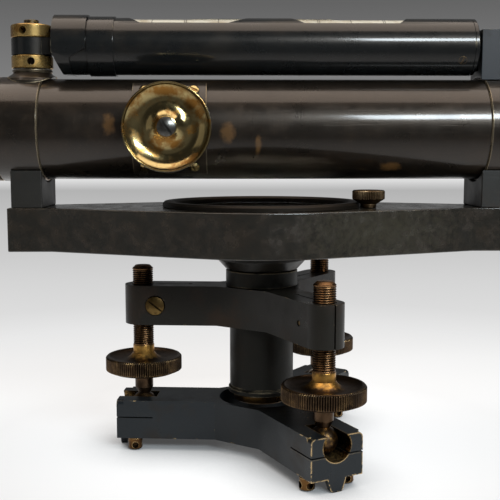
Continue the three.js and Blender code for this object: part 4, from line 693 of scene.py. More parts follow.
def lathe_layer(mix, look, axis, centre, tone, height):
    """Rings round the axis, and painted shade in the grooves between the crests of a thread or a milled
    rim.
    """
    fineness, relief, strength = look["rings"]
    spot = mix.group(from_axis, [("Centre", centre), ("Axis", axis)])
    travel = mix.math("ADD", spot["Along"], spot["Away"])
    lathe = mix.group(turning_marks, [("Travel", travel), ("Rings", fineness)])
    height = mix.math("ADD", height, mix.math("MULTIPLY", lathe["Height"], relief))
    ringed = mix.math("MULTIPLY", lathe["Tone"], strength)
    tone = mix.blend(ringed, tone, colour([c * 0.5 for c in look["colour"]]))
    # Painted shade: the grooves between the crests are coloured darker.
    if look["crest"]:
        floor, top = look["crest"]
        groove = mix.math("MULTIPLY", mix.between(spot["Away"], floor - 0.1 * MM, floor),
                          mix.between(spot["Away"], top - 0.04 * MM, floor + 0.06 * MM))
        tone = mix.blend(groove, tone, colour(look["groove"]))
    return tone, height


def wear_layer(mix, look):
    """Where edges are worn to bare metal: more at handled spots, and not at the lips of a slit."""
    radius, patches, low, high = look["wear"]
    for spot, size in look["handled"]:
        near = mix.group(rubbed_and_lit_spot, [("Spot", spot), ("Size", size)])["Mask"]
        low, high = (mix.between(near, 0, 1, level, level - HANDLING) for level in (low, high))
    bare = mix.group(worn_edges, [("Radius", radius), ("Patchiness", patches), ("Low", low),
                                  ("High", high)])["Mask"]
    if look["quiet"]:
        height_up = mix.add("ShaderNodeSeparateXYZ", {0: mix.place()}).outputs["Z"]
        from_slit = mix.math("ABSOLUTE", mix.math("SUBTRACT", height_up, look["quiet"]))
        bare = mix.math("MULTIPLY", bare, mix.between(from_slit, 0.7 * MM, 1.6 * MM))
    return bare


def bored_layer(mix, bore, tone, bare):
    """Old bare brass on the wall of a bored hole."""
    middle_spot, way, radius, start = bore
    spot = mix.group(from_axis, [("Centre", middle_spot), ("Axis", way)])
    inside = mix.math("MULTIPLY", mix.between(spot["Away"], radius + 0.4 * MM, radius + 0.15 * MM),
                      mix.between(spot["Along"], start, start + 0.3 * MM))
    sooty = mix.between(mix.noise(900.0, 4.0, 0.65), 0.42, 0.6)
    tone = mix.blend(inside, tone, mix.blend(sooty, colour(LINING), colour(SOOT)))
    return tone, mix.math("MAXIMUM", bare, inside)


# %% [markdown]
# The layers come together in one material. Its Principled shader gets the tone, the roughness and the
# height of all of them. Where the lacquer is worn through, the shader turns to bare metal and loses
# its clear coat. What doesn't change over the piece is set straight on the shader's sockets.


# %% Metals
def metal(name, slot, axis=None, centre=None, **change):
    """The slot's finish as a material, with the changes that this piece needs."""
    look = {**looks[slot], **change}
    reach, dirt_and_shade_amount = look["grime"]
    made, mix = blank_material(name)
    stain = mix.group(tarnish, zip(("Size", "Low", "High"), look["patches"]))
    skin = mix.group(grain, [("Fineness", look["fineness"])])
    tone = mix.blend(stain["Mask"], colour(look["colour"]), colour(look["stain"]))
    tone = mix.blend(mix.math("MULTIPLY", stain["Specks"], look["specks"]), tone, colour(look["speck"]))
    height = mix.math("MULTIPLY", skin["Height"], look["relief"])
    if axis is not None:
        tone, height = lathe_layer(mix, look, axis, centre, tone, height)
    # Rubbed spots, and on some pieces spots of painted light and painted reflection.
    for spot, size in look["rubbed"]:
        worn_and_lit = mix.group(rubbed_and_lit_spot, [("Spot", spot), ("Size", size)])["Mask"]
        tone = mix.blend(worn_and_lit, tone, colour(look["thin"]))
    bare = wear_layer(mix, look)
    tone = mix.blend(bare, tone, colour(look["bare"]))
    for bore in look["bores"]:
        tone, bare = bored_layer(mix, bore, tone, bare)
    # Hollows darken: partly dirt, partly painted shade.
    dirt_and_shade = mix.math("MULTIPLY", mix.group(grime, [("Reach", reach)])["Mask"], dirt_and_shade_amount)
    tone = mix.blend(dirt_and_shade, tone, colour(DIRT_AND_SHADE))
    rough = mix.between(skin["Sheen"], 0.0, 1.0, *look["roughness"])
    rough = mix.math("ADD", rough, mix.math("MULTIPLY", stain["Mask"], look["dulled"]), clamp=True)
    bump = mix.add("ShaderNodeBump", {"Height": height, "Distance": look["depth"], "Strength": 1.0})
    shader = mix.add("ShaderNodeBsdfPrincipled", {
        "Base Color": tone, "Roughness": rough, "IOR": look["ior"], "Specular Tint": colour(look["tint"]),
        "Normal": bump, "Metallic": look["metallic"]})
    if look["metallic"] < 1.0:
        mix.feed(shader.inputs["Metallic"], mix.between(bare, 0.0, 1.0, look["metallic"], 1.0))
    if look["coat"]:
        shader.inputs["Coat Roughness"].default_value = look["coat_roughness"]
        mix.feed(shader.inputs["Coat Weight"], mix.between(bare, 0.0, 0.7, look["coat"], 0.0))
    mix.add("ShaderNodeOutputMaterial", {0: shader})
    return made


# %% [markdown]
# The table of finishes. colour and stain are the two tones of the surface, bare is the metal under
# it, and a further tone is that of the rubbed spots and of the spots of painted light. patches says
# how tarnish spreads, wear how wide and how broken the worn edges are, and rings how strongly the
# lathe's marks show. Each finish names only what differs from the first row. Each dark lacquer is a
# near-black surface that isn't metallic, with a low index of refraction, because old lacquer hides
# its metal; where it is worn the metal shows.

# %% Table of finishes
base_look = {
    "patches": (45.0, 0.5, 0.66), "wear": (0.0005, 90.0, 0.58, 0.7), "fineness": 1500.0, "relief": 1.0,
    "specks": 0.15, "speck": (0.10, 0.075, 0.05), "rings": (2500.0, 1.0, 0.2), "dulled": 0.12,
    "depth": 0.00001, "metallic": 0.0, "coat": 0.0, "coat_roughness": 0.15, "ior": 1.4,
    "tint": (1.0, 1.0, 1.0), "grime": (0.0015, 0.6), "rubbed": [], "thin": (0.06, 0.03, 0.01),
    "handled": [], "quiet": None, "crest": None, "groove": (0.016, 0.011, 0.007), "bores": [],
}
own_looks = {
    "bronze": {"colour": (0.0052, 0.0040, 0.0030), "stain": (0.0100, 0.0062, 0.0036),
               "bare": (0.34, 0.27, 0.17), "roughness": (0.24, 0.38), "coat": 0.5, "coat_roughness": 0.11,
               "ior": 1.35, "tint": (1.0, 0.82, 0.68), "wear": (0.0006, 120.0, 0.40, 0.56),
               "depth": 0.00003, "rings": (1400.0, 0.9, 0.1)},
    "blue_black": {"colour": (0.0038, 0.0046, 0.0050), "stain": (0.0060, 0.0054, 0.0044),
                   "bare": (0.30, 0.25, 0.17), "roughness": (0.24, 0.34), "coat": 0.42,
                   "coat_roughness": 0.10, "ior": 1.3, "tint": (1.0, 0.86, 0.75),
                   "speck": (0.07, 0.07, 0.065), "depth": 0.000014, "rings": (1400.0, 1.0, 0.1)},
    "gunmetal": {"colour": (0.0088, 0.0074, 0.0054), "stain": (0.0175, 0.0088, 0.0042),
                 "bare": (0.30, 0.23, 0.14), "roughness": (0.26, 0.38), "specks": 0.5, "ior": 1.36,
                 "patches": (34.0, 0.5, 0.66), "speck": (0.030, 0.028, 0.024), "depth": 0.000025},
    "plate_grey": {"colour": (0.0080, 0.0098, 0.0112), "stain": (0.0120, 0.0084, 0.0055),
                   "bare": (0.60, 0.42, 0.21), "roughness": (0.26, 0.36), "wear": (0.0009, 210.0, 0.6, 0.7),
                   "patches": (50.0, 0.55, 0.7), "depth": 0.00002, "ior": 1.32},
    "brass": {"colour": (0.43, 0.335, 0.155), "stain": (0.26, 0.125, 0.03),
              "bare": (0.80, 0.62, 0.34), "roughness": (0.09, 0.17), "rings": (3200.0, 0.4, 0.3),
              "speck": (0.05, 0.03, 0.015), "metallic": 1.0, "depth": 0.000006,
              "patches": (130.0, 0.5, 0.6), "dulled": 0.14, "specks": 0.5, "grime": (0.002, 0.9)},
    "worn_brass": {"colour": (0.145, 0.080, 0.026), "stain": (0.05, 0.029, 0.013),
                   "bare": (0.62, 0.42, 0.19), "roughness": (0.24, 0.38), "wear": (0.0006, 200.0, 0.4, 0.6),
                   "speck": (0.03, 0.02, 0.012), "metallic": 1.0, "patches": (150.0, 0.45, 0.6),
                   "grime": (0.002, 0.9)},
    "head_bronze": {"colour": (0.085, 0.051, 0.029), "stain": (0.036, 0.023, 0.014),
                    "bare": (0.50, 0.31, 0.13), "roughness": (0.26, 0.4), "metallic": 1.0,
                    "wear": (0.0004, 200.0, 0.45, 0.62), "patches": (90.0, 0.42, 0.6),
                    "speck": (0.02, 0.014, 0.01), "grime": (0.0025, 0.85)},
    "steel": {"colour": (0.13, 0.125, 0.115), "stain": (0.045, 0.036, 0.028),
              "bare": (0.6, 0.58, 0.55), "roughness": (0.2, 0.34), "speck": (0.08, 0.05, 0.035),
              "metallic": 1.0, "patches": (160.0, 0.45, 0.62), "grime": (0.001, 0.9)},
    "silvered": {"colour": (0.60, 0.57, 0.50), "stain": (0.38, 0.33, 0.25),
                 "bare": (0.7, 0.6, 0.42), "roughness": (0.42, 0.55), "metallic": 1.0,
                 "speck": (0.2, 0.17, 0.13)},
}
looks = {slot: {**base_look, **own} for slot, own in own_looks.items()}
finishes = {slot: metal(slot, slot) for slot in looks}
print(", ".join(finishes))

# %% [markdown]
# Glass is clear and smooth. The lens glass leans a little to green, as old crown glass does. The
# vial is lined with cream plaster, which is what the windows of the bubble tube show.


# %% Glass
def glass(name, tint, haze):
    """Clear glass with a faint uneven smear."""
    made, mix = blank_material(name)
    smear = mix.between(mix.noise(70.0, 5.0, 0.6), 0.4, 0.7, haze, haze * 3)
    shader = mix.add("ShaderNodeBsdfPrincipled", {
        "Base Color": colour(tint), "Roughness": smear, "IOR": 1.5, "Transmission Weight": 1.0})
    mix.add("ShaderNodeOutputMaterial", {0: shader})
    return made


CREAM, OLD_CREAM, INK = (0.50, 0.46, 0.37), (0.36, 0.30, 0.21), (0.05, 0.04, 0.03)


def plaster(name, marks):
    """Cream plaster behind glass, with a dark line at each mark along X."""
    made, mix = blank_material(name)
    along = mix.add("ShaderNodeSeparateXYZ", {0: mix.place()}).outputs["X"]
    inked = 0.0
    for mark in marks:
        from_mark = mix.math("ABSOLUTE", mix.math("SUBTRACT", along, mark))
        inked = mix.math("MAXIMUM", inked, mix.between(from_mark, 0.24 * MM, 0.14 * MM))
    stain = mix.group(tarnish, [("Size", 120.0)])["Mask"]
    tone = mix.blend(stain, colour(CREAM), colour(OLD_CREAM))
    tone = mix.blend(mix.math("MULTIPLY", inked, 0.85), tone, colour(INK))
    bump = mix.add("ShaderNodeBump", {"Height": mix.noise(1800.0), "Distance": 0.00002})
    shader = mix.add("ShaderNodeBsdfPrincipled", {
        "Base Color": tone, "Roughness": 0.6, "Normal": bump, "Coat Weight": 1.0, "Coat Roughness": 0.05})
    mix.add("ShaderNodeOutputMaterial", {0: shader})
    return made


finishes["clear_glass"] = glass("clear_glass", (0.93, 0.97, 0.94), 0.02)
SCALE_MARKS_MM = (-58.7, -48.5, -34.2, -33.4, -19.4, 24.4, 25.2, 39.1, 53.4, 54.2, 63.7)
finishes["vial_glass"] = plaster("vial_glass", [x * MM for x in SCALE_MARKS_MM])
print(len(bpy.data.materials), "materials")

# %% [markdown]
# The telescope. Its tube, bands, fitting and cells are turned brass under a dark lacquer.

# %% Telescope
thumbed = [(mm(-66.0, -22.2, 148.2), mm(3.4, 6, 6.2)), (mm(-15.3, -22.2, 144.7), mm(4.2, 6, 6.0)),
           (mm(-2.3, -21.0, 139.5), mm(1.8, 6, 5.8)), (mm(56.0, -15.0, 130.0), mm(6.0, 6, 3.0))]
turned("telescope_tube", X, segments=180, centre=middle("telescope_tube"), rubbed=thumbed)
for node in ("eye_collar", "object_collar"):
    turned(node, X, segments=160, wear=(0.0007, 60.0, 0.3, 0.45))
for node in ("objective_cell", "eye_end_fitting", "eyepiece_cap"):
    turned(node, X, segments=160)
for node in ("eyepiece_tube", "reticle_ring", "objective_lens", "eye_lens"):
    turned(node, X, segments=96)
cast("pinion_saddle", edge=0.15 * MM, wear=(0.0006, 60.0, 0.35, 0.5))
for node in ("focus_pinion", "focus_rack", "draw_tube"):
    cast(node, edge=0.15 * MM)
print("telescope tube", size_mm("telescope_tube"), "mm, with", len(thumbed), "rubbed spots")

# %% [markdown]
# Small screws. Each has a slot for the tool that turns it, and no two slots point the same way,
# because nobody lines them up. A bump could fake a slot. Here it is cut, so that it holds a real
# shadow.


# %% Slotted screws
SADDLE_TILT = math.asin(0.675)
SADDLE_SLOT, CLAMP_SLOT, KNOB_SLOT = ([v * MM for v in slot] for slot in (
    (0.6, 0.6, 4), (0.8, 0.8, 6), (0.95, 0.9, 6)))
arm_angles = {"eye": math.radians(175.5), "front": math.radians(295.5), "back": math.radians(55.5)}


def tip_of(node, axis):
    """The point where the node ends along an axis."""
    spots, _ = corners_of(node)
    centre = Vector(spots.mean(axis=0))
    return centre + axis * max((Vector(s) - centre).dot(axis) for s in spots)


def slotted(node, axis, turn, slot, **change):
    """A turned screw with a slot (width, depth, reach) across its head."""
    width, depth, reach = slot
    cutter = bar(tip_of(node, axis), crosswise(axis, turn), axis, 2 * reach, 2 * depth, width)
    return turned(node, axis, size=0.25 * MM, segments=72, cuts=[cutter], **change)


SADDLE_SCREWS = (("eye_low", -1), ("eye_high", 1), ("object_low", -1), ("object_high", 1))
for i, (name, side) in enumerate(SADDLE_SCREWS):
    axis = Vector((0, -math.cos(SADDLE_TILT), side * math.sin(SADDLE_TILT)))
    slotted(f"saddle_screw_{name}", axis, 0.5 + 0.7 * i, SADDLE_SLOT)
for i, (arm, angle) in enumerate(arm_angles.items()):
    axis = Vector((-math.sin(angle), math.cos(angle), 0))
    slotted(f"clamp_screw_{arm}", axis, 0.9 + 1.1 * i, CLAMP_SLOT,
            colour=(0.15, 0.095, 0.032), stain=(0.07, 0.042, 0.016), roughness=(0.22, 0.36))
slotted("focus_knob_screw", -Y, 0.62, KNOB_SLOT)
turned("bubble_hinge_pin", -Y, segments=64)
print("8 slotted screws, the widest slot", KNOB_SLOT[0] / MM, "mm")

# %% [markdown]
# Capstan screws have holes round the head for a steel pin. The cross-hair screws are drilled right
# through. The friction screws have four blind holes each, which stay dark because no light gets in.

# %% Capstan screws
PIN_HOLE, PIN_HOLE_DROP, PIN_HOLE_LENGTH = 0.7 * MM, 2.0 * MM, 12 * MM
BLIND_RADIUS, BLIND_LENGTH, BLIND_RISE, BLIND_MIDDLE = 1.45 * MM, 6 * MM, 2.2 * MM, 4.4 * MM
quarter_turns = [k * math.pi / 2 for k in range(4)]
for node, up in (("reticle_screw_top", Z), ("reticle_screw_bottom", -Z)):
    hole = drill(tip_of(node, up) - up * PIN_HOLE_DROP, X, PIN_HOLE, PIN_HOLE_LENGTH)
    turned(node, Z, segments=64, cuts=[hole])
for arm in arm_angles:
    for side, way in (("a", Vector((0.35, -1, 0)).normalized()),
                      ("b", Vector((0.1, -1, 0)).normalized())):
        node = f"friction_screw_{arm}_{side}"
        level = tip_of(node, -Z) + Z * BLIND_RISE
        outwards = [Matrix.Rotation(turn, 3, "Z") @ way for turn in quarter_turns]
        holes = [drill(level + outward * BLIND_MIDDLE, outward, BLIND_RADIUS, BLIND_LENGTH)
                 for outward in outwards]
        # Their holes darken more, partly with dirt and partly with painted shade.
        turned(node, Z, segments=64, cuts=holes, colour=(0.15, 0.075, 0.026),
               stain=(0.08, 0.038, 0.015), grime=(0.003, 0.95))
print("8 capstan screws, blind holes", 2 * BLIND_RADIUS / MM, "mm wide")

# %% [markdown]
# Milled rims and screw threads are ripples in the sweep. A milled rim is a wave round the axis. A
# thread is a wave along the axis that slips by one pitch in every turn, which makes it a helix. A
# Screw modifier could wind a thread too, but a ripple keeps the outline that was read off the node.


# %% Ripples
def milled(count, least_radius, depth):
    """Grooves round the part of the outline that lies outside least_radius."""
    def ripple(turn, radius, height):
        if radius < least_radius:
            return 0.0
        return -depth * (0.5 + 0.5 * np.cos(count * turn)) ** 1.5
    return ripple


def helix(pitch, low, high, radius_at, depth):
    """A thread cut into the run at radius_at between two heights, fading out at both."""
    def ripple(turn, radius, height):
        if not low < height < high or abs(radius - radius_at) > 0.02 * MM:
            return 0.0
        phase = (height / pitch - turn / (2 * math.pi)) % 1.0
        fade = min(1.0, (height - low) / pitch, (high - height) / pitch)
        return -depth * fade * np.abs(2 * phase - 1)
    return ripple


def filled(points, low, high, step):
    """The outline with extra points on its straight run between two heights."""
    made = []
    for a, b in zip(points, points[1:] + points[-1:]):
        made.append(a)
        inside = min(a[1], b[1]) >= low - step and max(a[1], b[1]) <= high + step
        if inside and abs(b[1] - a[1]) > 4 * step:
            count = int(abs(b[1] - a[1]) / step)
            made += [(a[0] + (b[0] - a[0]) * k / count, a[1] + (b[1] - a[1]) * k / count)
                     for k in range(1, count)]
    return made


# %% [markdown]
# The focusing knob is a dished brass wheel with a milled rim. The solid has a plain cone for a face,
# and the real one is a smooth bowl that gathers the lamps into two bright arcs, so its face is
# replaced by a curve. Brown patches are laid on as rubbed spots: tarnish from thumbs and old polish,
# and along the top of the bowl a painted reflection, browner than the floor it mirrors.

# %% Knobs
DISH_LOW, DISH_EDGE, HUB_EDGE, LIP_EDGE, RIM_EDGE = (r * MM for r in (10.8, 17.5, 4.3, 18.3, 18.5))
DISH_BEND, DISH_SINK = 74.0, 0.35 * MM
LIP_MM = ((18.3, 3.75), (17.8, 3.75), (17.55, 3.4))
KNOB_GROOVES, CLAMP_GROOVES, STEPS_A_GROOVE = 150, 56, 6
CLAMP_GROOVE_DEPTH = 0.32 * MM


def bowled(points):
    """The knob's face as one smooth bowl: lowest in a ring, and rising to the rim and to the hub."""
    kept = [p for p in points if not (HUB_EDGE - 0.1 * MM < p[0] < LIP_EDGE and p[1] > 0.1 * MM)]
    face = [(r, DISH_BEND * (r - DISH_LOW) ** 2 - DISH_SINK)
            for r in np.linspace(DISH_EDGE, HUB_EDGE, 40)]
    rim = next(i for i, p in enumerate(kept) if p[0] > RIM_EDGE and p[1] > 0) + 1
    return kept[:rim] + [(r * MM, h * MM) for r, h in LIP_MM] + face + kept[rim:]


knob_middle, clamp_middle = middle("focus_knob"), middle("needle_clamp_knob")
# Tarnish, and across the bowl's top a painted reflection.
tarnish_and_painted_reflection = [(knob_middle + mm(0, 0, 15), mm(15, 9, 3.4)), (knob_middle + mm(11, 0, 10), mm(5, 9, 5)),
             (knob_middle + mm(3, 0, -7), mm(5.5, 9, 2.6))]
turned("focus_knob", -Y, segments=KNOB_GROOVES * STEPS_A_GROOVE,
       ripple=milled(KNOB_GROOVES, 18.35 * MM, 0.3 * MM), shape=bowled,
       crest=(LIP_EDGE, 18.6 * MM), groove=(0.10, 0.07, 0.03), rubbed=tarnish_and_painted_reflection, thin=(0.20, 0.095, 0.022))
clamp_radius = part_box("needle_clamp_knob")[1][0] - clamp_middle.x
turned("needle_clamp_knob", Z, size=0.25 * MM, segments=CLAMP_GROOVES * STEPS_A_GROOVE,
       ripple=milled(CLAMP_GROOVES, 6.9 * MM, CLAMP_GROOVE_DEPTH),
       colour=(0.115, 0.068, 0.036), bare=(0.36, 0.24, 0.13),
       crest=(clamp_radius - CLAMP_GROOVE_DEPTH, clamp_radius))
print("focusing knob", size_mm("focus_knob"), "mm, clamp knob", size_mm("needle_clamp_knob"), "mm")

# %% [markdown]
# The levelling screws carry the whole instrument. Head and thread are two pieces, because the milled
# head needs many steps round the axis and the thread needs many steps along it. One mesh for both
# would need both, and would be many times as heavy. Fingers keep the neck bright.

# %% Levelling screws
THREAD_RADIUS, THREAD_PITCH, THREAD_DEPTH = 4.78 * MM, 0.977 * MM, 0.42 * MM
HEAD_RADIUS, KNURL_DEPTH, KNURLS = 17.64 * MM, 0.45 * MM, 107
RIM_RADIUS, RIM_TOP, NECK_TOP = 16.1 * MM, 42.1 * MM, 47.3 * MM
BALL_HEIGHT, NECK_HEIGHT = 19.1, 44.6
DISH_MM = ((15.7, 41.5), (13.2, 40.7), (10.6, 40.2), (9.0, 40.5), (7.6, 41.1), (6.4, 41.9), (5.6, 42.8),
           (4.9, 43.6))


def screw_outlines(points, floor):
    """The outline of the head with a deeper dish and a straight neck, and the outline of the thread."""
    rim = next(i for i, (r, h) in enumerate(points)
               if abs(r - RIM_RADIUS) < 0.1 * MM and h + floor > RIM_TOP - 0.2 * MM)
    dish = [(r * MM, h * MM - floor) for r, h in DISH_MM]
    neck = [(dish[-1][0], NECK_TOP - floor), (dish[-1][0] - 0.4 * MM, NECK_TOP + 0.4 * MM - floor)]
    head = points[:rim + 1] + dish + neck + [(0.0, neck[-1][1])]
    top = [p for p in points if p[1] + floor > NECK_TOP]
    thread = [(0.0, neck[0][1]), (THREAD_RADIUS, neck[0][1])] + top
    return head, thread


for arm in arm_angles:
    node = f"levelling_screw_{arm}"
    points, centre = outline_of(node, Z)
    slot, x, y = slot_of[node], centre.x / MM, centre.y / MM
    foot, shank = screw_outlines(points, centre.z)
    head = swept(f"{node}_head", eased(foot, 0.3 * MM), Z, centre, KNURLS * STEPS_A_GROOVE,
                 milled(KNURLS, 17.4 * MM, KNURL_DEPTH))
    stands_for(smooth(head), node)
    bright = [(mm(x, y, NECK_HEIGHT), mm(15, 15, 4.8)), (mm(x, y, BALL_HEIGHT), mm(7, 7, 6))]
    finished(head, slot, metal(f"{node}_bronze", slot, Z, centre, rubbed=bright, thin=(0.54, 0.29, 0.07),
                               crest=(HEAD_RADIUS - KNURL_DEPTH, HEAD_RADIUS)))
    low, high = shank[1][1], shank[2][1]
    ridge = helix(THREAD_PITCH, low, high, THREAD_RADIUS, THREAD_DEPTH)
    thread = swept(f"{node}_thread", filled(shank, low, high, THREAD_PITCH / 8), Z, centre, 64, ridge)
    stands_for(smooth(thread, 60.0), node)
    finished(thread, slot, metal(f"{node}_thread_bronze", slot, Z, centre, colour=(0.23, 0.12, 0.052),
                                 stain=(0.17, 0.09, 0.04), specks=0.0, relief=0.3,
                                 wear=(0.0004, 200.0, 0.97, 0.99),
                                 crest=(THREAD_RADIUS - THREAD_DEPTH, THREAD_RADIUS)))
    print(node, "has", round((high - low) / THREAD_PITCH, 1), "turns of thread")

# %% [markdown]
# The bubble tube is the level itself. Its casing is turned, and two long windows are milled through
# the top, with sloping ends where the cutter came down. Their ends are given as shares of the
# casing's length. The glass vial inside is whole.

# %% Bubble tube
CASING_RADIUS, WINDOW_DEPTH, WINDOW_HALF, ABOVE = 12.6 * MM, 3.0 * MM, 13 * MM, 1 * MM
WINDOW_ENDS = ((0.158, 0.19, 0.4033, 0.4536), (0.5547, 0.5878, 0.8199, 0.842))
low, high = (Vector(v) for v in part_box("bubble_casing"))
casing_centre = (low + high) / 2
floor_z = casing_centre.z + CASING_RADIUS - WINDOW_DEPTH
windows = []
for shares in WINDOW_ENDS:
    a, b, c, d = (low.x + share * (high.x - low.x) for share in shares)
    lean, top_z = ABOVE / WINDOW_DEPTH, floor_z + WINDOW_DEPTH + ABOVE
    profile = [(b, floor_z), (c, floor_z), (d + (d - c) * lean, top_z), (a - (b - a) * lean, top_z)]
    verts = [(x, side * WINDOW_HALF, z) for side in (-1, 1) for x, z in profile]
    faces = [(0, 1, 2, 3), (7, 6, 5, 4)] + [(k, 4 + k, 4 + (k + 1) % 4, (k + 1) % 4) for k in range(4)]
    windows.append(new_piece("cutter", verts, faces))
    print("window", round((d - a) / MM, 1), "mm long")
turned("bubble_casing", X, segments=160, centre=casing_centre, cuts=windows)
turned("bubble_vial", X, segments=96)

# %% [markdown]
# The air bubble lies along the top of the vial. It is a shallow skin of air, so it is made as a long
# lens: a strip that follows the vial's curve and thins to nothing at its rim. A real fluid level would
# need the inside of the vial as well, and none of it would be seen.

# %% Air bubble
VIAL_RADIUS, BUBBLE_LENGTH, BUBBLE_WIDTH, BUBBLE_HEIGHT = 11.9 * MM, 66 * MM, 7 * MM, 0.35 * MM
ROWS, COLUMNS = 48, 12
vial_middle = middle("bubble_vial")
verts = []
for i in range(ROWS + 1):
    end = -math.cos(math.pi * i / ROWS)
    narrowing = (1 - abs(end) ** 6) ** 0.5
    for k in range(COLUMNS + 1):
        side = -math.cos(math.pi * k / COLUMNS)
        turn = side * BUBBLE_WIDTH / 2 * narrowing / VIAL_RADIUS
        radius = VIAL_RADIUS + BUBBLE_HEIGHT * (1 - side ** 2) ** 0.5 * narrowing + 0.02 * MM
        verts.append((vial_middle.x + end * BUBBLE_LENGTH / 2, radius * math.sin(turn),
                      vial_middle.z + radius * math.cos(turn)))
under = len(verts)
verts += [(x, y * 0.99, vial_middle.z + (z - vial_middle.z) * 0.99 - 0.2 * MM) for x, y, z in verts]
wide = COLUMNS + 1
faces = []
for a in (i * wide + k for i in range(ROWS) for k in range(COLUMNS)):
    faces.append((a, a + 1, a + wide + 1, a + wide))
    faces.append((under + a, under + a + wide, under + a + wide + 1, under + a + 1))
around = [*range(wide), *(i * wide + COLUMNS for i in range(1, ROWS + 1)),
          *(ROWS * wide + k for k in range(COLUMNS - 1, -1, -1)),
          *(i * wide for i in range(ROWS - 1, 0, -1))]
faces += [(a, under + a, under + b, b) for a, b in zip(around, around[1:] + around[:1])]
bubble = new_piece("air_bubble", verts, faces, weld=1e-7)
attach(bubble, body_of["bubble_vial"])
finished(smooth(bubble), "vial_glass", glass("bubble_rim_glass", (0.86, 0.9, 0.84), 0.04))
print("air bubble", BUBBLE_LENGTH / MM, "mm long,", len(bubble.data.polygons), "faces")

# %% [markdown]
# One flush screw sits low on the front of the casing. It is filed level with the tube, so only the
# ring round it and its slot show. The caps and the fork are castings.

# %% Casing screw, caps and fork
FLUSH_RADIUS, FLUSH_DROP, FLUSH_X = 1.9 * MM, 6.6 * MM, 87.8 * MM
low_side = Vector((0, -math.sqrt(CASING_RADIUS ** 2 - FLUSH_DROP ** 2), -FLUSH_DROP))
out_way = low_side.normalized()
seat = Vector((FLUSH_X, 0, casing_centre.z)) + out_way * (CASING_RADIUS - 0.5 * MM)
disc = [(0.0, -0.6 * MM), (FLUSH_RADIUS, -0.6 * MM), (FLUSH_RADIUS, 0.5 * MM), (0.0, 0.62 * MM)]
flush = swept("casing_screw", eased(disc, 0.1 * MM), out_way, seat, 48)
carve(flush, bar(seat + out_way * 0.6 * MM, crosswise(out_way, 1.2), out_way,
                 8 * MM, 0.9 * MM, 0.35 * MM))
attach(flush, body_of["bubble_casing"])
finished(smooth(flush), "blue_black", metal("casing_screw_black", "blue_black", out_way, seat,
                                            wear=(0.0004, 90.0, 0.3, 0.4), bare=(0.20, 0.13, 0.06)))
for node in ("bubble_eye_cap", "bubble_object_cap"):
    cast(node, edge=0.35 * MM)
cast("bubble_hinge_fork", edge=0.35 * MM, colour=(0.021, 0.025, 0.030), roughness=(0.42, 0.55))
print("casing screw at", [round(v / MM, 1) for v in seat], "mm")

# %% [markdown]
# Two capstan nuts on a threaded stud clamp the tube's lug and set its tilt. The stud's foot is a
# saddle: it is turned too tall, and the tube's own shape is then cut away from under it.

# %% Stud and nuts
STUD_RADIUS, STUD_PITCH, STUD_THREAD_DEPTH = 3.4 * MM, 0.7 * MM, 0.22 * MM
STUD_FOOT_MM = ((0, 163.5), (12.4, 163.5), (12.4, 167.6), (11.8, 168.8), (10.4, 169.8), (8.9, 170.7),
                (8.3, 171.5))
STUD_TOP, FOOT_TOP, THREAD_LOW, THREAD_HIGH = 194.5 * MM, 171.6 * MM, 2 * MM, 40 * MM
NUT_HOLE, NUT_HOLE_MIDDLE, NUT_HOLE_LENGTH = 1.65 * MM, 7.8 * MM, 8.6 * MM
collar_cut = drill(Vector((0, 0, middle("telescope_tube").z)), X, 23.3 * MM, 400 * MM)
points, centre = outline_of("bubble_stud", Z, middle("bubble_stud"))
points = [(r * MM, h * MM - centre.z) for r, h in STUD_FOOT_MM] + [
    (r, min(h, STUD_TOP - centre.z)) for r, h in points if h > FOOT_TOP - centre.z]
points = [p for i, p in enumerate(points) if i == 0 or p != points[i - 1]]
stud = swept("bubble_stud_fine", filled(eased(points), THREAD_LOW, THREAD_HIGH, 0.12 * MM), Z, centre, 72,
             helix(STUD_PITCH, THREAD_LOW, THREAD_HIGH, STUD_RADIUS, STUD_THREAD_DEPTH))
carve(stud, collar_cut)
stands_for(smooth(stud, 60.0), "bubble_stud")
thread_top = (mm(centre.x / MM, 0, 190), mm(4, 4, 14))
finished(stud, "bronze", metal("bubble_stud_bronze", "bronze", rubbed=[thread_top],
                               thin=(0.30, 0.19, 0.06)))
for node, turn in (("capstan_nut_upper", -0.23), ("capstan_nut_lower", 0.15)):
    outwards = [Vector((math.sin(turn + quarter), -math.cos(turn + quarter), 0))
                for quarter in quarter_turns]
    holes = [drill(middle(node) + outward * NUT_HOLE_MIDDLE, outward, NUT_HOLE, NUT_HOLE_LENGTH)
             for outward in outwards]
    turned(node, Z, size=0.4 * MM, cuts=holes, colour=(0.44, 0.285, 0.10), stain=(0.22, 0.115, 0.03),
           metallic=0.85, roughness=(0.16, 0.28))
print("stud up to", STUD_TOP / MM, "mm, nuts", size_mm("capstan_nut_upper"), "mm")

# %% [markdown]
# The stage with its two posts, the tribrach and the lower plate are castings that were filed and
# painted. Paint goes first where hands and the case touch, so those corners wear more than the rest.
# The lower plate's sockets are bored, and bare brass shows in them. The slit through each arm's end
# is a saw cut, so the lips are drawn closer together than the solid leaves them.

# %% Stage, tribrach and lower plate
SOCKET_RADIUS, SOCKET_START, SOCKET_Z = 6.5 * MM, 48.4 * MM, 19.07 * MM
SLIT_Z, SLIT_REACH, SLIT_SHARE = 15.77 * MM, 0.5 * MM, 0.3
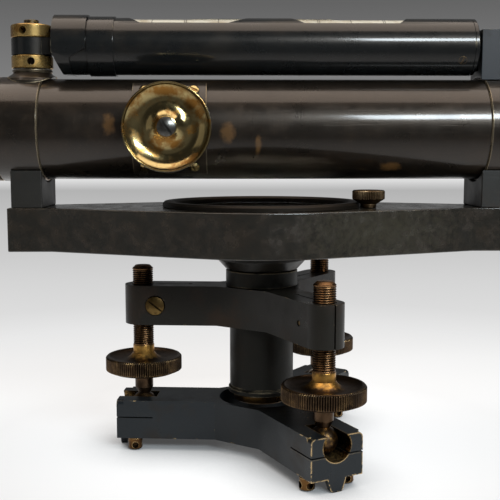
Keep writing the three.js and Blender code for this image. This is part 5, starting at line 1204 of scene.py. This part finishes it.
# Painted light: the right half of the stage's front is laid on as a lighter olive spot, where the lamps
# fall from the right.
painted_light_right_half = [(mm(75, -45, 103), mm(75, 30, 20))]
cast("compass_stage", edge=0.5 * MM, roughness=(0.13, 0.22), ior=1.62, rubbed=painted_light_right_half,
     thin=(0.021, 0.018, 0.0115), patches=(210.0, 0.44, 0.66), stain=(0.0150, 0.0100, 0.0058),
     specks=0.9)
for node in ("eye_post", "object_post"):
    cast(node, edge=0.5 * MM, roughness=(0.44, 0.56))
arm_ways = [Vector((math.cos(a), math.sin(a), 0)) for a in arm_angles.values()]
front_boss, front_tip = arm_ways[1] * 58 * MM + Z * 81 * MM, arm_ways[1] * 64 * MM + Z * 16 * MM
cast("tribrach", edge=0.45 * MM, ior=1.3, handled=[(front_boss, mm(20, 20, 7))],
     wear=(0.0007, 160.0, 0.62, 0.72), bare=(0.45, 0.33, 0.19))
bores = [(Vector((0, 0, SOCKET_Z)), way, SOCKET_RADIUS, SOCKET_START) for way in arm_ways]
plate = cast("lower_plate", edge=0.45 * MM, segments=3, bores=bores, quiet=SLIT_Z,
             handled=[(front_tip, mm(24, 24, 20))])
settle(plate)
lips = [vert for vert in plate.data.vertices if abs(vert.co.z - SLIT_Z) < SLIT_REACH]
for vert in lips:
    vert.co.z = SLIT_Z + (vert.co.z - SLIT_Z) * SLIT_SHARE
print(len(lips), "corners of the lips moved, stage", size_mm("compass_stage"), "mm")

# %% [markdown]
# The compass lies in the stage under glass. A dull dark bezel holds the glass, and the dial under it
# is silvered brass.

# %% Compass
cast("compass_needle", edge=0.1 * MM)
cast("needle_lifter", edge=0.1 * MM)
turned("compass_bezel", Z, segments=180, coat=0.0, roughness=(0.42, 0.52), ior=1.25,
       wear=(0.0005, 90.0, 0.7, 0.8))
for node in ("compass_glass", "compass_dial"):
    turned(node, Z, segments=180)
print("bezel", size_mm("compass_bezel"), "mm, needle", size_mm("compass_needle"), "mm")

# %% [markdown]
# The compass ring is divided in degrees. Each line is a thin bar of black wax in a cut, long at the
# tens and short between them. They are real bars and not a picture, so they stay sharp however near
# the camera comes.

# %% Dial lines
RING_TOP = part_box("compass_dial")[1][2]
RING_INNER, LINE_WIDTH, LINE_RISE = 33.8 * MM, 0.22 * MM, 0.05 * MM
LONG_LINE, SHORT_LINE, LINES, LONG_EVERY = 3.2 * MM, 1.8 * MM, 180, 5


def bearing(angle):
    """The direction across the dial at an angle from its north."""
    return Vector((math.sin(angle), math.cos(angle), 0))


verts, faces = [], []
for step in range(LINES):
    angle = 2 * math.pi * step / LINES
    length = LONG_LINE if step % LONG_EVERY == 0 else SHORT_LINE
    out_way, across = bearing(angle), bearing(angle + math.pi / 2)
    spot = out_way * (RING_INNER + length / 2) + Z * RING_TOP
    box_verts, box_faces = box_at(spot, out_way, across, length, LINE_WIDTH, 2 * LINE_RISE)
    faces += [tuple(len(verts) + k for k in face) for face in box_faces]
    verts += box_verts
wax = metal("black_wax", "gunmetal", colour=(0.01, 0.009, 0.008), ior=1.3)
lines = new_piece("dial_lines", verts, faces)
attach(lines, body_of["compass_dial"])
finished(lines, "gunmetal", wax)
print(LINES, "lines")

# %% [markdown]
# Plain numbers stand at every thirty degrees, filled with the same wax. Each is made as text with a
# little thickness, turned to face outwards, and joined into one mesh with the others.

# %% Dial numbers
NUMBER_SIZE, NUMBER_RADIUS, NUMBER_STEP = 3.4 * MM, 38.6 * MM, 30
shape = bmesh.new()
for degrees in range(0, 360, NUMBER_STEP):
    text = bpy.data.curves.new("number", "FONT")
    text.body = str(degrees)
    text.size, text.extrude, text.resolution_u = NUMBER_SIZE, LINE_RISE, 4
    text.align_x = "CENTER"
    figure = in_scene("number", text)
    bpy.context.view_layer.update()
    flat = bpy.data.meshes.new_from_object(figure.evaluated_get(bpy.context.evaluated_depsgraph_get()))
    angle = math.radians(degrees)
    spot = bearing(angle) * NUMBER_RADIUS + Z * RING_TOP
    flat.transform(Matrix.Translation(spot) @ Matrix.Rotation(-angle, 4, "Z"))
    shape.from_mesh(flat)
    bpy.data.objects.remove(figure)
numbers_mesh = bpy.data.meshes.new("dial_numbers")
bmesh.ops.remove_doubles(shape, verts=shape.verts, dist=1e-7)
shape.to_mesh(numbers_mesh)
shape.free()
numbers = in_scene("dial_numbers", numbers_mesh)
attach(numbers, body_of["compass_dial"])
finished(numbers, "gunmetal", wax)
print("dial numbers with", len(numbers_mesh.polygons), "faces")

# %% [markdown]
# The vertical axis. Its socket and cap are seen between the arms, so they get the dull dark lacquer of
# the photograph. The spindle inside them hardly shows, and takes its slot's plain finish.

# %% Vertical axis
for node in ("axis_socket", "socket_cap"):
    turned(node, Z, coat=0.0, roughness=(0.4, 0.52), ior=1.27, tint=(0.86, 0.9, 0.84))
for node in ("compass_pivot", "vertical_spindle", "spindle_end_nut"):
    turned(node, Z)
print("socket", size_mm("axis_socket"), "mm")
